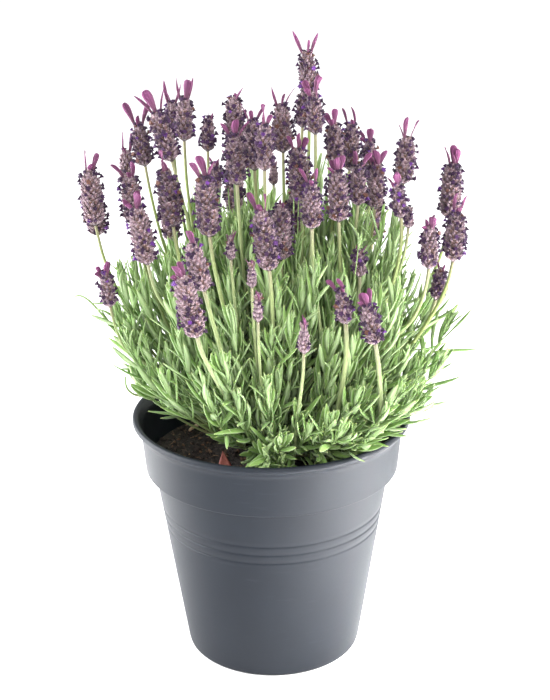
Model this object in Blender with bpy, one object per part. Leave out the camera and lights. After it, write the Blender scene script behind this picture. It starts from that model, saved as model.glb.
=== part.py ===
"""A flowering lavender in a round plastic grower's pot, in metres, +Z up.

The pot stands on the origin. It holds the soil, the plant's woody crown stands on the soil, and leafy
branches fan out from the crown. Each flower is one growth: a leafless stem, its spike and the tuft of
bracts on top. Every piece is one closed body, with a small gap to its neighbours.
"""

import math

import bmesh
import bpy
from mathutils import Vector
from mathutils.bvhtree import BVHTree

MM = 0.001

# Looks: colour and roughness of each material.
LOOKS = {
    "pot_plastic": ((0.078, 0.091, 0.119), 0.42),
    "soil": ((0.028, 0.017, 0.011), 0.95),
    "bark": ((0.115, 0.075, 0.045), 0.85),
    "foliage": ((0.16, 0.25, 0.075), 0.7),
    "flower": ((0.12, 0.07, 0.13), 0.75),
    "twig": ((0.33, 0.22, 0.12), 0.8),
    "dry_leaf": ((0.27, 0.09, 0.07), 0.7),
}
SHARP_DEGREES = 35.0
BRANCH_SHARP_DEGREES = 60.0
FLOWER_SHARP_DEGREES = 50.0

# Pot, radii and heights in millimetres.
POT_SIDES = 48
POT_HEIGHT = 155.0
LIP_RADIUS = 85.0
# The rolled lip, from outside to inside: how far in from LIP_RADIUS and down from POT_HEIGHT.
LIP_OUTLINE = ((1.0, 4.8), (0.0, 3.4), (0.0, 1.5), (0.8, 0.3), (1.7, 0.0), (2.8, 0.2), (3.8, 1.2))
COLLAR_TOP = (80.3, 148.5)
COLLAR_FOOT = (77.7, 122.6)
STEP_HEIGHT = 120.5
STEP_UNDERCUT = (1.2, 0.4)
LEDGE_ROUND = (1.0, 0.8)
BODY_FOOT = (54.5, 3.6)
BODY_SLOPE = 0.1535
FOOT_ROUND = (0.6, 1.2)
WALL = 1.6
GROOVE_HEIGHTS = (97.2, 91.3, 85.4)
GROOVE_DEPTH = 0.6
GROOVE_HALF_WIDTH = 0.9
FLOOR_HEIGHT = 3.6
PAD_RADIUS = 22.0
FOOT_RING = (48.0, 52.6)
CHANNEL_RISE = 2.0
DRAIN_HOLES = 8
DRAIN_RING_RADIUS = 35.0
DRAIN_RADIUS = 4.0
DRAIN_SIDES = 12
DRAIN_CUT_DEPTH = 14.4

# Soil. A lump is waves across the bed: radians per millimetre along X and Y.
SOIL_GAP = 0.35
SOIL_EDGE_HEIGHT = 123.4
SOIL_MIDDLE_HEIGHT = 124.6
SOIL_RING_RADII = (69.0, 59.0, 48.0, 36.0, 24.0)
SOIL_LUMP = 1.1
COARSE_WAVE = (0.11, 0.13)
FINE_WAVE = (0.23, -0.17)
COARSE_SHARE = 0.65

# Crown: a lobed stump with one lobe under each outer branch and a boss for the middle one.
OUTER_BRANCHES = 6
CROWN_SIDES = 36
CROWN_RINGS = ((0.3, 10.0, 1.0), (3.5, 11.5, 4.0), (6.8, 14.5, 7.5), (8.2, 8.0, 0.6), (15.6, 5.0, 0.4))

# Leafy branches: height, reach from the axis, half depth outwards, half width across.
BRANCH_SIDES = 12
BRANCH_SECTIONS = (
    (134, 21, 3, 4),
    (142, 31, 12, 12),
    (155, 46, 24, 20),
    (175, 60, 33, 26),
    (195, 67, 35, 31),
    (212, 69, 32, 31),
    (226, 68, 25, 27),
    (238, 66, 15, 18),
    (245, 66, 5, 6),
)
BRANCH_HEIGHT_SCALES = (0.98, 0.94, 1.0, 0.97, 0.92, 0.93)
MIDDLE_SECTIONS = (
    (141, 4),
    (150, 12),
    (165, 18),
    (182, 23),
    (200, 28),
    (218, 31),
    (233, 29),
    (243, 20),
    (249, 7),
)
BRANCH_DIMPLE = 0.12
DIMPLES_ROUND = 3.0
DIMPLE_DRIFT = 1.7

# Flowers.
STEM_SIDES = 6
STEM_RADIUS = 1.25
STEM_RINGS = 4
FULL_SPIKE_LENGTH = 30.0
FULL_SPIKE_RADIUS = 7.0
LEAST_SPIKE_SCALE = 0.62
SPIKE_OUTLINE = ((0.0, 0.25), (0.07, 0.72), (0.3, 1.0), (0.65, 1.0), (0.9, 0.78), (1.0, 0.42))
BRACT_OUTLINE = ((0.12, 0.5, 0.3), (0.55, 0.85, 0.34), (1.0, 0.5, 0.2))
STEM_FAN = 0.55
STEM_FAN_HEIGHT = 160.0
STEM_STEP = 1.5
STEM_LOW_HANDLE = 0.35
STEM_HIGH_HANDLE = 0.28
OUTWARD_LEAN = 0.001
LEAF_COVER = 2.3

# One flower a row: x, y and height of the spike's foot, the spike's length, how far its tip leans to +X,
# and the height of its bracts, all in millimetres.
FLOWERS = (
    # tall flowers of the middle, left to right
    (-55, -8, 314, 28, -8, 13),
    (-57, 38, 316, 21, 0, 13),
    (-49, 16, 320, 24, 1, 12),
    (-36, 30, 310, 19, 1, 4),
    (-20, 34, 313, 27, 0, 7),
    (-18, -12, 301, 28, -1, 9),
    (-8, 12, 303, 29, -1, 10),
    (-2, -24, 312, 25, 0, 12),
    (9, 42, 306, 28, -1, 11),
    (24, 20, 345, 24, -1, 13),
    (21, 60, 317, 20, 1, 4),
    (27, -10, 329, 22, -1, 11),
    (19, -2, 288, 30, -2, 9),
    (40, 26, 302, 24, -1, 9),
    (50, 60, 290, 27, 1, 10),
    (40, -22, 281, 29, -1, 9),
    (52, -2, 285, 23, 0, 9),
    (62, 44, 291, 20, -1, 8),
    # left side, outermost first
    (-101, -6, 276, 32, -2, 11),
    (-104, 30, 259, 31, -2, 6),
    (-88, 62, 281, 21, 0, 11),
    (-79, 2, 274, 28, -2, 9),
    (-69, -35, 261, 33, -5, 9),
    (-74, 36, 300, 24, -3, 14),
    (-54, -34, 283, 31, -3, 12),
    (-33, -48, 281, 34, -2, 11),
    (-31, 8, 292, 15, 0, 5),
    (-93, -22, 231, 20, -2, 7),
    # right side, outermost first
    (108, 20, 270, 32, 1, 11),
    (107, -14, 254, 28, 1, 11),
    (80, 22, 291, 27, 2, 12),
    (91, -34, 256, 24, 0, 7),
    (99, -2, 226, 18, 2, 5),
    (75, -30, 285, 19, -3, 7),
    (63, 18, 277, 26, 1, 9),
    # low flowers of the front
    (-36, -66, 255, 27, -6, 8),
    (-40, -82, 234, 35, -7, 8),
    (0, -52, 262, 34, -4, 11),
    (7, -18, 257, 32, 0, 4),
    (24, -42, 283, 25, 0, 9),
    (15, 24, 260, 23, 0, 4),
    (52, -26, 249, 15, -1, 4),
    (42, -72, 237, 19, -3, 7),
    (58, -78, 227, 23, -5, 9),
    # the back
    (-62, 78, 240, 29, -2, 10),
    (-22, 88, 255, 31, 0, 11),
    (22, 92, 245, 28, 1, 10),
    (66, 80, 238, 30, 2, 10),
)
# Flowers whose stems rise from elsewhere than STEM_FAN says: row number, then x and y of the low point.
STEM_FEET = {
    16: (44, -14),
    26: (-8, -34),
    28: (-70, -14),
    36: (-16, -42),
    37: (-12, -46),
    40: (36, -24),
    43: (36, -52),
    44: (64, -56),
}
BRACT_TURN = 47.0

# Loose pieces on the soil: where they lie, in millimetres and degrees.
REST_GAP = 0.6
TWIG_PLACE = (-47.0, 44.0)
TWIG_BEARING = 62.0
TWIG_LENGTH = 20.0
TWIG_RADIUS = 1.1
TWIG_BOW = 2.0
TWIG_SECTIONS = 5
DRY_LEAF_PLACE = (-29.0, -24.0)
DRY_LEAF_BEARING = 100.0
DRY_LEAF_LENGTH = 14.0
DRY_LEAF_HALF_WIDTH = 4.2
DRY_LEAF_THICKNESS = 0.8
DRY_LEAF_OUTLINE = (0.8, 1.0, 0.85, 0.5, 0.15)
DRY_LEAF_RISE = 2.2
DRY_LEAF_CURL = 0.56


def clear_scene():
    for old in list(bpy.data.objects):
        bpy.data.objects.remove(old, do_unlink=True)


def material(name):
    colour, roughness = LOOKS[name]
    made = bpy.data.materials.new(name)
    made.use_nodes = True
    shader = made.node_tree.nodes["Principled BSDF"]
    shader.inputs["Base Color"].default_value = (*colour, 1.0)
    shader.inputs["Roughness"].default_value = roughness
    shader.inputs["Metallic"].default_value = 0.0
    return made


def object_from(bm, name, look, sharp_degrees=SHARP_DEGREES):
    """The closed body in bm, welded, facing out, in millimetres, as a named object in metres."""
    bmesh.ops.remove_doubles(bm, verts=bm.verts, dist=0.001)
    bmesh.ops.recalc_face_normals(bm, faces=bm.faces)
    bmesh.ops.scale(bm, vec=(MM, MM, MM), verts=bm.verts)
    mesh = bpy.data.meshes.new(name)
    bm.to_mesh(mesh)
    bm.free()
    mesh.shade_smooth()
    mesh.set_sharp_from_angle(angle=math.radians(sharp_degrees))
    mesh.materials.append(look)
    made = bpy.data.objects.new(name, mesh)
    bpy.context.collection.objects.link(made)
    return made


def turned(profile, sides):
    """A bmesh of the (radius, height) profile turned once about Z. Its ends lie on the axis."""
    bm = bmesh.new()
    line = [bm.verts.new((radius, 0.0, height)) for radius, height in profile]
    edges = [bm.edges.new(pair) for pair in zip(line, line[1:])]
    bmesh.ops.spin(
        bm, geom=line + edges, cent=(0, 0, 0), axis=(0, 0, 1), angle=math.tau, steps=sides, use_merge=True
    )
    bmesh.ops.remove_doubles(bm, verts=bm.verts, dist=0.001)
    return bm


def lofted(rings):
    """A bmesh of the closed loft through rings that have the same number of points, capped at both ends."""
    bm = bmesh.new()
    loops = [[bm.verts.new(point) for point in ring] for ring in rings]
    count = len(loops[0])
    for low, high in zip(loops, loops[1:]):
        for i in range(count):
            after = (i + 1) % count
            bm.faces.new((low[i], low[after], high[after], high[i]))
    bm.faces.new(reversed(loops[0]))
    bm.faces.new(loops[-1])
    return bm


def ring(centre, half_x, half_y, turn, sides):
    """A level ellipse of points round centre, with half_x along the direction turn."""
    points = []
    for i in range(sides):
        angle = math.tau * i / sides
        along = half_x * math.cos(angle)
        across = half_y * math.sin(angle)
        x = centre[0] + along * math.cos(turn) - across * math.sin(turn)
        y = centre[1] + along * math.sin(turn) + across * math.cos(turn)
        points.append((x, y, centre[2]))
    return points


def body_radius(height):
    """The outside of the pot's tapered body."""
    return BODY_FOOT[0] + BODY_SLOPE * (height - BODY_FOOT[1])


def pot_outside():
    """From the middle of the underside, up the outside and over the lip."""
    foot_inner, foot_outer = FOOT_RING
    points = [
        (0.0, 0.0),
        (PAD_RADIUS, 0.0),
        (PAD_RADIUS + CHANNEL_RISE, CHANNEL_RISE),
        (foot_inner - CHANNEL_RISE, CHANNEL_RISE),
        (foot_inner, 0.0),
        (foot_outer, 0.0),
        (BODY_FOOT[0] - FOOT_ROUND[0], FOOT_ROUND[1]),
        BODY_FOOT,
    ]
    for height in reversed(GROOVE_HEIGHTS):
        points.append((body_radius(height - GROOVE_HALF_WIDTH), height - GROOVE_HALF_WIDTH))
        points.append((body_radius(height) - GROOVE_DEPTH, height))
        points.append((body_radius(height + GROOVE_HALF_WIDTH), height + GROOVE_HALF_WIDTH))
    points += [
        (body_radius(STEP_HEIGHT), STEP_HEIGHT),
        (COLLAR_FOOT[0] - STEP_UNDERCUT[0], STEP_HEIGHT + STEP_UNDERCUT[1]),
        COLLAR_FOOT,
        COLLAR_TOP,
    ]
    points += [(LIP_RADIUS - inward, POT_HEIGHT - down) for inward, down in LIP_OUTLINE]
    return points


def pot_inside():
    """From below the lip down the inner wall to the floor's outer corner."""
    ledge = STEP_HEIGHT + WALL
    return [
        (COLLAR_TOP[0] - WALL, COLLAR_TOP[1]),
        (COLLAR_FOOT[0] - WALL, ledge + LEDGE_ROUND[1]),
        (COLLAR_FOOT[0] - WALL - LEDGE_ROUND[0], ledge),
        (body_radius(ledge) - WALL, ledge - LEDGE_ROUND[0]),
        (body_radius(FLOOR_HEIGHT) - WALL, FLOOR_HEIGHT),
    ]


def make_pot():
    bm = turned(pot_outside() + pot_inside() + [(0.0, FLOOR_HEIGHT)], POT_SIDES)
    look = material("pot_plastic")
    pot = object_from(bm, "pot", look)
    cutters = bmesh.new()
    for i in range(DRAIN_HOLES):
        angle = math.tau * (i + 0.5) / DRAIN_HOLES
        hole = bmesh.ops.create_cone(
            cutters, cap_ends=True, segments=DRAIN_SIDES, radius1=DRAIN_RADIUS, radius2=DRAIN_RADIUS,
            depth=DRAIN_CUT_DEPTH,
        )
        place = (DRAIN_RING_RADIUS * math.cos(angle), DRAIN_RING_RADIUS * math.sin(angle), 0.0)
        bmesh.ops.translate(cutters, vec=place, verts=hole["verts"])
    cutter = object_from(cutters, "drain_cutter", look)
    cutter.hide_render = True
    cutter.display_type = "WIRE"
    cut = pot.modifiers.new("drain_holes", "BOOLEAN")
    cut.operation = "DIFFERENCE"
    cut.solver = "EXACT"
    cut.object = cutter


def soil_lump(x, y):
    """Gentle unevenness of the soil, from -1 to 1."""
    coarse = math.sin(COARSE_WAVE[0] * x) * math.cos(COARSE_WAVE[1] * y)
    fine = math.sin(FINE_WAVE[0] * x + FINE_WAVE[1] * y)
    return COARSE_SHARE * coarse + (1.0 - COARSE_SHARE) * fine


def make_soil():
    gap = SOIL_GAP
    collar_foot, ledge_inner, body_top, floor_corner = pot_inside()[1:]
    profile = [
        (0.0, floor_corner[1] + gap),
        (floor_corner[0] - gap, floor_corner[1] + gap),
        (body_top[0] - gap, body_top[1] + gap / 2),
        (ledge_inner[0] - gap / 2, ledge_inner[1] + gap),
        (collar_foot[0] - gap, collar_foot[1] + gap / 2),
        (collar_foot[0] - gap, SOIL_EDGE_HEIGHT),
    ]
    profile += [(radius, SOIL_MIDDLE_HEIGHT) for radius in SOIL_RING_RADII]
    profile.append((0.0, SOIL_MIDDLE_HEIGHT))
    bm = turned(profile, POT_SIDES)
    lumpy_from, lumpy_to = SOIL_RING_RADII[-1], SOIL_RING_RADII[0]
    for vert in bm.verts:
        radius = math.hypot(vert.co.x, vert.co.y)
        if vert.co.z > SOIL_EDGE_HEIGHT + 0.1 and lumpy_from + 0.1 < radius < lumpy_to + 0.1:
            vert.co.z += SOIL_LUMP * soil_lump(vert.co.x, vert.co.y)
    return object_from(bm, "potting_soil", material("soil"))


def make_crown():
    rings = []
    for rise, radius, lobe in CROWN_RINGS:
        points = []
        for i in range(CROWN_SIDES):
            angle = math.tau * i / CROWN_SIDES
            from_lobe = angle - math.pi / OUTER_BRANCHES
            reach = radius + lobe * math.cos(OUTER_BRANCHES * from_lobe)
            points.append((reach * math.cos(angle), reach * math.sin(angle), SOIL_MIDDLE_HEIGHT + rise))
        rings.append(points)
    return object_from(lofted(rings), "woody_crown", material("bark"))


def dimple(sides, index, level, seed):
    """A factor of at most 1 that dents a branch between its shoots."""
    wave = math.sin(DIMPLES_ROUND * math.tau * index / sides + DIMPLE_DRIFT * level + seed)
    return 1.0 - BRANCH_DIMPLE * (0.5 + 0.5 * wave)


def dented(points, centre, level, seed):
    count = len(points)
    found = []
    for i, (x, y, z) in enumerate(points):
        share = dimple(count, i, level, seed)
        found.append((centre[0] + share * (x - centre[0]), centre[1] + share * (y - centre[1]), z))
    return found


def make_branches():
    look = material("foliage")
    made = []
    root = BRANCH_SECTIONS[0][0]
    for number in range(OUTER_BRANCHES):
        bearing = math.tau * (number + 0.5) / OUTER_BRANCHES
        scale = BRANCH_HEIGHT_SCALES[number]
        rings = []
        for level, (height, reach, depth, width) in enumerate(BRANCH_SECTIONS):
            z = root + scale * (height - root)
            centre = (reach * math.cos(bearing), reach * math.sin(bearing), z)
            points = ring(centre, depth, width, bearing, BRANCH_SIDES)
            rings.append(dented(points, centre, level, number))
        made.append(object_from(lofted(rings), f"leafy_branch_{number + 1}", look, BRANCH_SHARP_DEGREES))
    rings = []
    for level, (height, radius) in enumerate(MIDDLE_SECTIONS):
        centre = (0.0, 0.0, float(height))
        points = ring(centre, radius, radius, 0.0, BRANCH_SIDES)
        rings.append(dented(points, centre, level, OUTER_BRANCHES))
    made.append(object_from(lofted(rings), f"leafy_branch_{OUTER_BRANCHES + 1}", look, BRANCH_SHARP_DEGREES))
    return made


def bezier(a, b, c, d, t):
    s = 1.0 - t
    return a * s**3 + b * 3 * s * s * t + c * 3 * s * t * t + d * t**3


def tree_of(made):
    bm = bmesh.new()
    bm.from_mesh(made.data)
    tree = BVHTree.FromBMesh(bm)
    bm.free()
    return tree


def clear_of(point, trees, distance):
    """Whether point, in millimetres, is outside every body and at least distance away from it."""
    for tree in trees:
        place, normal, _, away = tree.find_nearest(point * MM)
        if away < distance * MM or (point * MM - place).dot(normal) < 0:
            return False
    return True


def stem_path(number, foot, axis, trees):
    """Points up the bare part of a stem, from just outside the leaves to the spike's foot."""
    low_x, low_y = STEM_FEET.get(number, (STEM_FAN * foot.x, STEM_FAN * foot.y))
    start = Vector((low_x, low_y, STEM_FAN_HEIGHT))
    length = (foot - start).length
    handle_low = start.lerp(foot, STEM_LOW_HANDLE)
    handle_high = foot - axis * (STEM_HIGH_HANDLE * length)
    steps = int(length / STEM_STEP)
    line = [bezier(start, handle_low, handle_high, foot, i / steps) for i in range(steps + 1)]
    covered = [i for i, point in enumerate(line) if not clear_of(point, trees, LEAF_COVER)]
    last_covered = max(covered, default=-1)
    bare = line[last_covered + 1 :]
    return [bare[round(i * (len(bare) - 1) / STEM_RINGS)] for i in range(STEM_RINGS + 1)]


def make_flower(number, row, trees, look):
    x, y, height, length, lean, bract = row
    foot = Vector((x, y, height))
    tip = foot + Vector((lean, OUTWARD_LEAN * y * length, length))
    axis = (tip - foot).normalized()
    scale = min(1.0, max(LEAST_SPIKE_SCALE, length / FULL_SPIKE_LENGTH))
    radius = FULL_SPIKE_RADIUS * scale
    turn = math.radians(BRACT_TURN * number)
    rings = []
    for point in stem_path(number, foot, axis, trees)[:-1]:
        rings.append(ring(point, STEM_RADIUS, STEM_RADIUS, turn, STEM_SIDES))
    for share, width in SPIKE_OUTLINE:
        centre = foot.lerp(tip, share)
        rings.append(ring(centre, width * radius, width * radius, turn, STEM_SIDES))
    for share, width, thickness in BRACT_OUTLINE:
        centre = tip + axis * (bract * share)
        centre.z = tip.z + bract * share
        rings.append(ring(centre, width * radius, thickness * radius, turn, STEM_SIDES))
    return object_from(lofted(rings), f"flower_{number:02d}", look, FLOWER_SHARP_DEGREES)


def make_flowers(branches):
    look = material("flower")
    trees = [tree_of(branch) for branch in branches]
    for number, row in enumerate(FLOWERS, start=1):
        make_flower(number, row, trees, look)


def height_over(tree, x, y):
    place = tree.ray_cast(Vector((x, y, POT_HEIGHT)) * MM, Vector((0, 0, -1)))[0]
    return place.z / MM


def make_twig(soil_tree):
    bearing = math.radians(TWIG_BEARING)
    along = Vector((math.cos(bearing), math.sin(bearing), 0.0))
    across = Vector((-along.y, along.x, 0.0))
    centre = Vector((*TWIG_PLACE, 0.0))
    lines = []
    for i in range(TWIG_SECTIONS):
        share = 2.0 * i / (TWIG_SECTIONS - 1) - 1.0
        bow = TWIG_BOW * (1.0 - share * share)
        lines.append(centre + along * (share * TWIG_LENGTH / 2) + across * bow)
    level = max(height_over(soil_tree, point.x, point.y) for point in lines)
    rings = []
    for point in lines:
        middle = Vector((point.x, point.y, level + TWIG_RADIUS + REST_GAP))
        points = []
        for i in range(STEM_SIDES):
            angle = math.tau * (i + 0.5) / STEM_SIDES
            outwards = across * math.cos(angle) + Vector((0, 0, math.sin(angle)))
            points.append(middle + TWIG_RADIUS * outwards)
        rings.append(points)
    object_from(lofted(rings), "twig", material("twig"))


def make_dry_leaf(soil_tree):
    """A thin pointed leaf that lies on the soil with its far end raised."""
    bearing = math.radians(DRY_LEAF_BEARING)
    along = Vector((math.cos(bearing), math.sin(bearing), 0.0))
    across = Vector((-along.y, along.x, 0.0))
    near = Vector((*DRY_LEAF_PLACE, 0.0)) - along * (DRY_LEAF_LENGTH / 2)
    step = DRY_LEAF_LENGTH / (len(DRY_LEAF_OUTLINE) - 1)
    spots = [near + along * (step * i) for i in range(len(DRY_LEAF_OUTLINE))]
    level = max(height_over(soil_tree, spot.x, spot.y) for spot in spots) + REST_GAP
    rings = []
    for i, (spot, width) in enumerate(zip(spots, DRY_LEAF_OUTLINE)):
        rise = level + DRY_LEAF_RISE * i
        half = DRY_LEAF_HALF_WIDTH * width * across
        low = Vector((spot.x, spot.y, rise))
        high = low + Vector((0, 0, DRY_LEAF_THICKNESS))
        curl = Vector((0, 0, DRY_LEAF_CURL))
        rings.append([low + half + curl, high, low - half + curl, low])
    object_from(lofted(rings), "dry_leaf", material("dry_leaf"))


def main():
    clear_scene()
    make_pot()
    soil_tree = tree_of(make_soil())
    make_crown()
    make_flowers(make_branches())
    make_twig(soil_tree)
    make_dry_leaf(soil_tree)


main()
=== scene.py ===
import math

import bpy
import numpy as np
from mathutils import Matrix, Vector


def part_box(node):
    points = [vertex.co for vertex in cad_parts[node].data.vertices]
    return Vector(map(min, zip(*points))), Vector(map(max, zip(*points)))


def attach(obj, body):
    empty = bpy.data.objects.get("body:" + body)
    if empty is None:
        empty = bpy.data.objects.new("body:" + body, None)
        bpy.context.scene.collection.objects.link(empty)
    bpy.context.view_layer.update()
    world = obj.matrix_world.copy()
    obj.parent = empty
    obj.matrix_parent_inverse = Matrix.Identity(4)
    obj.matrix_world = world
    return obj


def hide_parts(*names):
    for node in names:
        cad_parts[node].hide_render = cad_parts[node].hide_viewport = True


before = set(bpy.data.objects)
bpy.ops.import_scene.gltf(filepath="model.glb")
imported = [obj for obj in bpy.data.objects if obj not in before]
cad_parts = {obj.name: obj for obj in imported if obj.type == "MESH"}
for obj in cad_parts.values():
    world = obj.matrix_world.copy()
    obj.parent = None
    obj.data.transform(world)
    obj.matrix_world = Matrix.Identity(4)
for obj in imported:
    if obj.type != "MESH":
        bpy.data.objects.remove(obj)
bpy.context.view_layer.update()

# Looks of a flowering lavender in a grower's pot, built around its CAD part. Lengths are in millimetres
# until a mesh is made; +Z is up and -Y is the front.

MM = 0.001
UP = np.array([0.0, 0.0, 1.0])
GOLDEN = math.pi * (3 - math.sqrt(5))
SEEDS = {"foliage": 5, "crown": 11, "crumbs": 21, "litter": 31, "buds": 77, "flowers": 1000}
# Share of its cell that each tube's part of the map keeps free on each side.
MAP_MARGIN = 0.06

# ---------------------------------------------------------------- vectors


def unit(v):
    return v / np.linalg.norm(v, axis=-1, keepdims=True)


def square_to(axis, hint):
    """The part of hint that is square to axis, as unit vectors."""
    return unit(hint - (hint * axis).sum(-1, keepdims=True) * axis)


def towards(polar, turn):
    """Unit vector at polar radians from +Z and turn radians from +X."""
    return np.array([math.sin(polar) * math.cos(turn), math.sin(polar) * math.sin(turn), math.cos(polar)])


def round_pot(turn, reach, height):
    """The spot at a bearing, a distance from the pot's axis and a height."""
    return np.array([reach * math.cos(turn), reach * math.sin(turn), height])


def round_axis(turn, a, b):
    """Unit vectors at turn radians from a towards b."""
    turn = np.asarray(turn)[..., None]
    return np.cos(turn) * a + np.sin(turn) * b


def bezier(a, b, c, d, t):
    """Points at the shares t of a cubic curve from a to d."""
    t = t[:, None]
    s = 1 - t
    return a * s**3 + b * 3 * s * s * t + c * 3 * s * t * t + d * t**3


def walked(line):
    """How far along a path each of its points lies."""
    return np.concatenate([[0], np.cumsum(np.linalg.norm(np.diff(line, axis=0), axis=1))])


def on_path(far, steps, line):
    """The points of a path that lie far along it."""
    return np.stack([np.interp(far, steps, line[:, i]) for i in range(3)], -1)


def box_mm(node):
    """The lowest and the highest corner of a CAD node's box, in millimetres."""
    return np.array([list(corner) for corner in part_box(node)]) / MM


# ---------------------------------------------------------------- meshes


def linked(name, data, looks=()):
    """A new object of the scene that shows data in the given materials."""
    for look in looks:
        data.materials.append(look)
    made = bpy.data.objects.new(name, data)
    bpy.context.scene.collection.objects.link(made)
    return made


def grid_faces(rings, places):
    """The four-sided faces between closed rings of points, with each face's ring and place."""
    r, k = np.meshgrid(np.arange(rings - 1), np.arange(places), indexing="ij")
    r, k = r.ravel(), k.ravel()
    after = (k + 1) % places
    low, high = r * places, (r + 1) * places
    return np.stack([low + k, low + after, high + after, high + k], 1), r, k


def fill(layer, field, values, kind=np.float32):
    layer.foreach_set(field, np.asarray(values).astype(kind).ravel())


class Shape:
    """Tubes gathered for one object. A tube is a grid of points: rings along it, places round each ring."""

    def __init__(self):
        self.parts = []

    def add(self, points, grain, tone, look):
        """points (tube, ring, place, xyz); grain (..., 3) is along, across, under; tone one number a tube."""
        tone = np.broadcast_to(np.asarray(tone, float).reshape(-1, 1, 1), points.shape[:3])
        grain = np.broadcast_to(grain, points.shape[:3] + (3,))
        self.parts.append((points, grain, tone, look))

    def make(self, name, looks):
        """The object. Each tube has its own cell in a square map, so that a bake gives it its own texels."""
        verts, quads, marks, grains, tones, maps = [], [], [], [], [], []
        first = cell = 0
        cells = math.ceil(math.sqrt(sum(part[0].shape[0] for part in self.parts)))
        for points, grain, tone, look in self.parts:
            count, rings, places = points.shape[:3]
            side, r, k = grid_faces(rings, places)
            side_map = np.stack([k, r, k + 1, r, k + 1, r + 1, k, r + 1], 1).reshape(-1, 4, 2).astype(float)
            i = np.arange(places // 2 - 1)
            top = (rings - 1) * places + np.stack([i, i + 1, places - 2 - i, places - 1 - i], 1)
            low = np.stack([places - 1 - i, places - 2 - i, i + 1, i], 1)
            low_map = np.stack([low.astype(float), np.zeros(low.shape)], 2)
            top_map = np.stack([(top % places).astype(float), np.full(top.shape, rings - 1.0)], 2)
            template = np.concatenate([side, low, top])
            spots = np.concatenate([side_map, low_map, top_map]) / [places, rings - 1]
            base = first + np.arange(count)[:, None, None] * rings * places
            quads.append((template[None] + base).reshape(-1, 4))
            number = cell + np.arange(count)
            corner = np.stack([number % cells, number // cells], 1)[:, None, None, :]
            maps.append(((MAP_MARGIN + (1 - 2 * MAP_MARGIN) * spots[None] + corner) / cells).reshape(-1, 2))
            marks.append(np.full(count * len(template), look))
            verts.append(points.reshape(-1, 3))
            grains.append(grain.reshape(-1, 3))
            tones.append(tone.reshape(-1))
            first += count * rings * places
            cell += count
        verts, quads = np.concatenate(verts) * MM, np.concatenate(quads)
        mesh = bpy.data.meshes.new(name)
        mesh.vertices.add(len(verts))
        fill(mesh.vertices, "co", verts)
        mesh.loops.add(quads.size)
        fill(mesh.loops, "vertex_index", quads, np.int32)
        mesh.polygons.add(len(quads))
        fill(mesh.polygons, "loop_start", np.arange(0, quads.size, 4), np.int32)
        fill(mesh.polygons, "material_index", np.concatenate(marks), np.int32)
        mesh.update(calc_edges=True)
        fill(mesh.attributes.new("grain", "FLOAT_VECTOR", "POINT").data, "vector", np.concatenate(grains))
        fill(mesh.attributes.new("tone", "FLOAT", "POINT").data, "value", np.concatenate(tones))
        fill(mesh.uv_layers.new(name="OFBake").data, "uv", np.concatenate(maps))
        mesh.shade_smooth()
        return linked(name, mesh, looks)


# Places of the materials in each kind of piece.
PEAT, CHIP = range(2)
LEAF, SHOOT = range(2)
STEM, SCALE, CORE, CALYX, COROLLA, BRACT = range(6)


def shown(piece, slot, *nodes):
    """Puts a piece in the root body, in place of the CAD nodes it shows, which it hides; slot is not used."""
    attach(piece, "root")
    if nodes:
        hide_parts(*nodes)


def blades(origin, along, normal, length, half_width, curl, sway, twist, stations, section, thick, cup=0.0):
    """Leaves, petals and scales. stations (ring, 2) is place along and share of the half width; section
    (place, 3) is across, relief and depth. Returns the points and their grain."""
    t, f = stations[:, 0], stations[:, 1]
    n = len(origin)
    length, half_width, curl, sway, twist = (
        np.broadcast_to(np.asarray(a, float), (n,))[:, None] for a in (length, half_width, curl, sway, twist)
    )
    bend = np.where(np.abs(curl) < 1e-3, 1e-3, curl)
    angle = bend * t
    run = length * np.sin(angle) / bend
    lift = length * (1 - np.cos(angle)) / bend
    side = np.cross(normal, along)
    drift = sway * length * t**2
    along, normal, side = along[:, None], normal[:, None], side[:, None]
    middle = origin[:, None] + run[..., None] * along + lift[..., None] * normal + drift[..., None] * side
    tangent = round_axis(angle, along, normal)
    up = -np.sin(angle)[..., None] * along + np.cos(angle)[..., None] * normal
    across = np.cross(up, tangent)
    c, s = np.cos(twist * t)[..., None], np.sin(twist * t)[..., None]
    across, up = across * c + up * s, up * c - across * s
    width = (half_width * f)[..., None]
    u, relief, depth = section.T
    out = u * width
    rise = relief * width + depth * thick + cup * width * u**2
    points = middle[:, :, None] + out[..., None] * across[:, :, None] + rise[..., None] * up[:, :, None]
    grain = np.stack(np.broadcast_arrays(t[:, None], u[None], (depth < 0).astype(float)[None]), -1)
    return points, grain


def pipe(path, radius, places, ribs=0, rib_depth=0.0, hint=None):
    """One tube along path with a radius at each of its points."""
    tangent = unit(np.gradient(path, axis=0))
    hint = np.array([0.31, 0.87, 0.38]) if hint is None else hint
    a = square_to(tangent, np.broadcast_to(hint, tangent.shape))
    b = np.cross(tangent, a)
    angle = np.arange(places) * math.tau / places
    reach = np.asarray(radius, float)[:, None] * (1 + rib_depth * np.cos(ribs * angle))[None]
    flat = (reach * np.cos(angle))[..., None] * a[:, None]
    points = path[:, None] + flat + (reach * np.sin(angle))[..., None] * b[:, None]
    t = np.linspace(0, 1, len(path))
    grain = np.stack(np.broadcast_arrays(t[:, None], np.cos(angle)[None], np.zeros((1, 1))), -1)
    return points[None], grain[None]


# ---------------------------------------------------------------- looks


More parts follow.
